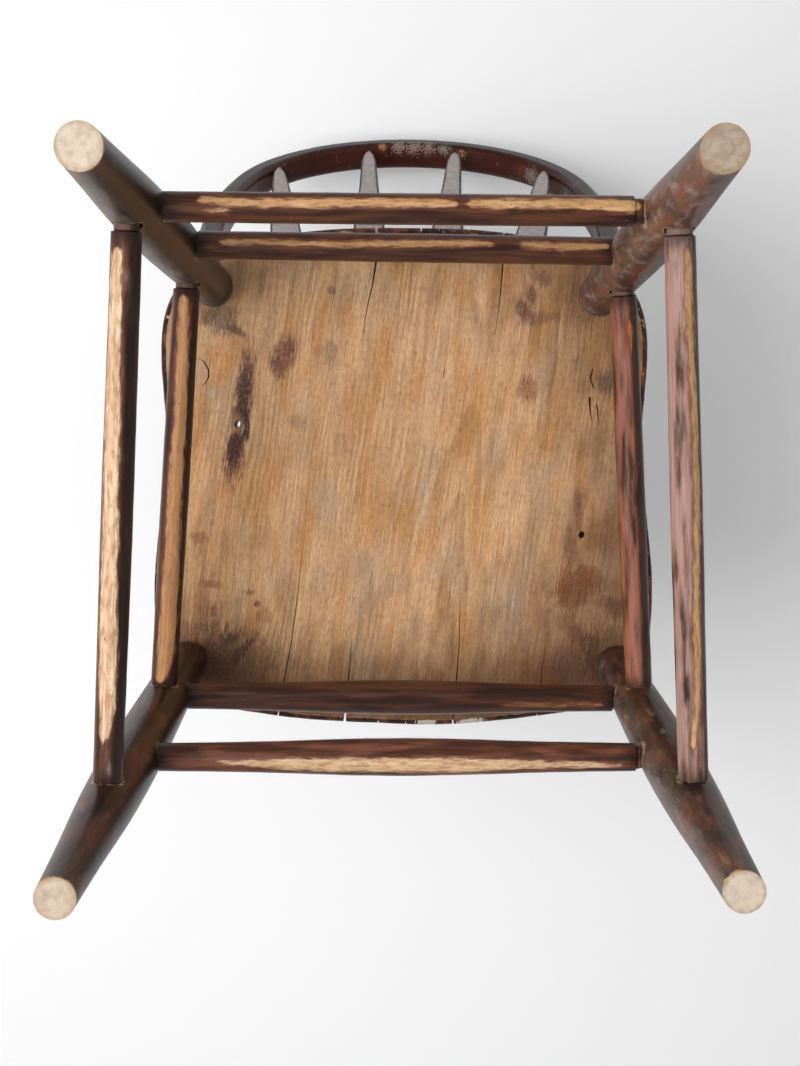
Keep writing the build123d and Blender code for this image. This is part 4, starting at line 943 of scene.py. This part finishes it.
for left, rear, up, reach_mm, colour in BOW_CHIPS:
    away = add_node(tree, "VectorMath", {0: place, 1: (left, rear, up)}, operation="DISTANCE")
    share = add_node(tree, "Math", {0: away.outputs["Value"], 1: 1 / reach_mm, 2: broken_part},
                     operation="MULTIPLY_ADD")
    chip = add_node(tree, "MapRange", {0: share, 1: 0.95, 2: 0.75, 3: 0.0, 4: 0.85})
    coat = lay(tree, coat, colour, chip)
finish_surface(tree, coat, 0.3, 0.18, dust, 0.3, 0.4)
put_on(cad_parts["bow"], bow_paint)

# The spindles' faces are painted pale grey in patches, and their sideways faces dark.
SPINDLE_GREY = "A49B99"
SPINDLE_PALE = "BDB5B1"
SPINDLE_DARK = "352A27"

spindle_paint, tree = new_material("pale_grey_paint_on_ash")
place = local_mm(tree, BOW_ORIGIN * MM)
facing = add_node(tree, "NewGeometry")
normal = add_node(tree, "SeparateXYZ", {0: facing.outputs["Normal"]})
chalk = patches(tree, place, (4, 4, 12), 0.30, 0.70, seed=16, detail=7)
coat = lay(tree, linear(SPINDLE_GREY), SPINDLE_PALE, chalk)
sideways = add_node(tree, "Math", {0: normal.outputs["X"]}, operation="ABSOLUTE")
frayed = patches(tree, place, (3, 3, 8), 0.2, 0.8, seed=18, detail=5)
edge_place = add_node(tree, "Math", {0: frayed, 1: 0.2, 2: sideways}, operation="MULTIPLY_ADD")
edge_part = add_node(tree, "MapRange", {0: edge_place, 1: 0.48, 2: 0.72, 3: 0.0, 4: 0.9})
coat = lay(tree, coat, SPINDLE_DARK, edge_part)
finish_surface(tree, coat, 0.7, 0.3, chalk, 0.2, 0.4)
for side in ("left", "right"):
    for which in ("outer", "inner"):
        put_on(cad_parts[f"{which}_{side}_spindle"], spindle_paint)

# ---------------------------------------------------------------------------------------------------
# Hidden inside the joints: split maple wedges that spread the blind tenons, and wire brads through the
# bow into the spindles.

IRON_DARK = "2E2724"
IRON_RUST = "6B4027"
# Each: its material's name, its two colours, the size of their patches, their noise, how rough and how
# metallic it is, and its nodes.
HIDDEN = [
    ("split_maple", MAPLE, MAPLE_DARK, (1.5, 1.5, 12), (0.3, 0.7), 0.7, 0.0, ("leg_wedges", "bow_wedges")),
    ("rusty_iron_wire", IRON_DARK, IRON_RUST, (0.8, 0.8, 0.8), (0.35, 0.65), 0.6, 0.5, ("spindle_brads",)),
]
for name, colour, second_colour, size, (low, high), roughness, metallic, nodes in HIDDEN:
    hidden, tree = new_material(name)
    place = local_mm(tree, (0, 0, 0))
    surface = lay_patches(tree, linear(colour), second_colour, place, size, low, high)
    shader = add_node(tree, "BsdfPrincipled", {
        "Base Color": surface, "Roughness": roughness, "Metallic": metallic})
    add_node(tree, "OutputMaterial", {"Surface": shader})
    for node in nodes:
        put_on(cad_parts[node], hidden)

# ---------------------------------------------------------------------------------------------------
# The studio: a camera below the chair, looking up; a pale floor seen from above only and a pale sheet
# overhead seen from below only; soft lamps on all sides, the strongest from the sitter's left.

CAMERA_PLACE = (-0.005, 0.0676, -1.0012)
CAMERA_TURN = (173.5346, -0.3429, 179.7450)     # degrees
LENS_PIXELS, FRAME_PIXELS = 1667, 1066          # the focal length and the frame's long side
SENSOR = 36.0                                   # mm along that side
camera_data = bpy.data.cameras.new("camera")
camera = bpy.data.objects.new("camera", camera_data)
bpy.context.scene.collection.objects.link(camera)
camera.location = CAMERA_PLACE
camera.rotation_euler = [radians(angle) for angle in CAMERA_TURN]
camera_data.sensor_width = SENSOR
camera_data.lens = LENS_PIXELS * SENSOR / FRAME_PIXELS
bpy.context.scene.camera = camera

WHITE = "FFFFFF"
FLOOR_WHITE = "F8F8F8"
SHEET_WHITE = "EBEBEC"
ROOM_WHITE = "F4F4F5"
BOARD_SIZE = 8              # metres
OVERHEAD = 0.90             # height of the sheet overhead
UNDER_FEET = -0.0005        # height of the floor
# The two boards: height, turn, colour, and how much paler than its light each is seen.
BOARDS = {
    "floor": (UNDER_FEET, 0.0, FLOOR_WHITE, 0.20),
    "overhead_sheet": (OVERHEAD, pi, SHEET_WHITE, 0.11),
}
for name, (height, turn, colour, pale) in BOARDS.items():
    one_sided, tree = new_material("matt_white_board_of_" + name)
    facing = add_node(tree, "NewGeometry")
    board = add_node(tree, "BsdfDiffuse", {"Color": linear(colour)})
    ray = add_node(tree, "LightPath")
    lift = add_node(tree, "Math", {0: ray.outputs["Is Camera Ray"], 1: pale}, operation="MULTIPLY")
    glow = add_node(tree, "Emission", {"Color": linear(WHITE), "Strength": lift})
    board = add_node(tree, "AddShader", {0: board, 1: glow})
    clear = add_node(tree, "BsdfTransparent")
    shader = add_node(tree, "MixShader", {0: facing.outputs["Backfacing"], 1: board, 2: clear})
    add_node(tree, "OutputMaterial", {"Surface": shader})
    bpy.ops.object.select_all(action="DESELECT")
    bpy.ops.mesh.primitive_plane_add(size=BOARD_SIZE, location=(0, 0, height), rotation=(turn, 0, 0))
    sheet = bpy.context.object
    sheet.name = name
    put_on(sheet, one_sided)
    sheet.visible_shadow = False
    sheet.visible_diffuse = False

# Each lamp: where it stands, its size in metres and its power in watts; all aim at the chair's middle.
# Only the one named is mirrored in the varnish.
LAMPS = {
    "key_lamp_from_left": ((1.4, 0.0, -1.25), 1.6, 33.0),
    "key_lamp_from_below": ((0.7, -0.1, -1.4), 1.1, 20.0),
    "fill_lamp_from_below": ((-0.6, 0.1, -1.9), 2.2, 14.0),
    "fill_lamp_from_above": ((0.8, -1.4, 2.4), 2.0, 34.0),
    "fill_lamp_from_behind": ((-0.9, 2.2, 1.4), 1.8, 20.0),
}
MIRRORED_LAMP = "key_lamp_from_below"
CHAIR_MIDDLE = Vector((0, 0, 0.4))
for name, (position, size, power) in LAMPS.items():
    lamp_data = bpy.data.lights.new(name, "AREA")
    lamp_data.shape = "DISK"
    lamp_data.size = size
    lamp_data.energy = power
    lamp = bpy.data.objects.new(name, lamp_data)
    bpy.context.scene.collection.objects.link(lamp)
    lamp.location = position
    lamp.rotation_euler = (Vector(position) - CHAIR_MIDDLE).to_track_quat("Z", "Y").to_euler()
    lamp.visible_camera = False
    lamp.visible_glossy = name == MIRRORED_LAMP

# The room is white to the eye; it lights the chair softly, and is mirrored darker from below.
world = bpy.data.worlds.new("pale_studio")
world.use_nodes = True
world.node_tree.nodes.clear()
tree = world.node_tree
ray = add_node(tree, "LightPath")
direction = add_node(tree, "TexCoord")
rise = add_node(tree, "SeparateXYZ", {0: direction.outputs["Generated"]})
upward = add_node(tree, "MapRange", {0: rise.outputs["Z"], 1: -0.15, 2: 0.2, 3: 0.18, 4: 1.0})
seen = add_node(tree, "Math", {0: ray.outputs["Is Camera Ray"], 1: ray.outputs["Is Transmission Ray"]},
                operation="MAXIMUM")
whiteness = add_node(tree, "Mix", {0: seen, 2: upward, 3: 1.0}, data_type="FLOAT")
seen = add_node(tree, "Math", {0: seen, 1: ray.outputs["Is Glossy Ray"]}, operation="MAXIMUM")
soft_light = add_node(tree, "Background", {"Color": linear(WHITE), "Strength": 0.22})
white = add_node(tree, "Background", {"Color": linear(ROOM_WHITE), "Strength": whiteness})
both = add_node(tree, "MixShader", {0: seen, 1: soft_light, 2: white})
add_node(tree, "OutputWorld", {"Surface": both})
bpy.context.scene.world = world
bpy.context.scene.view_settings.view_transform = "Standard"
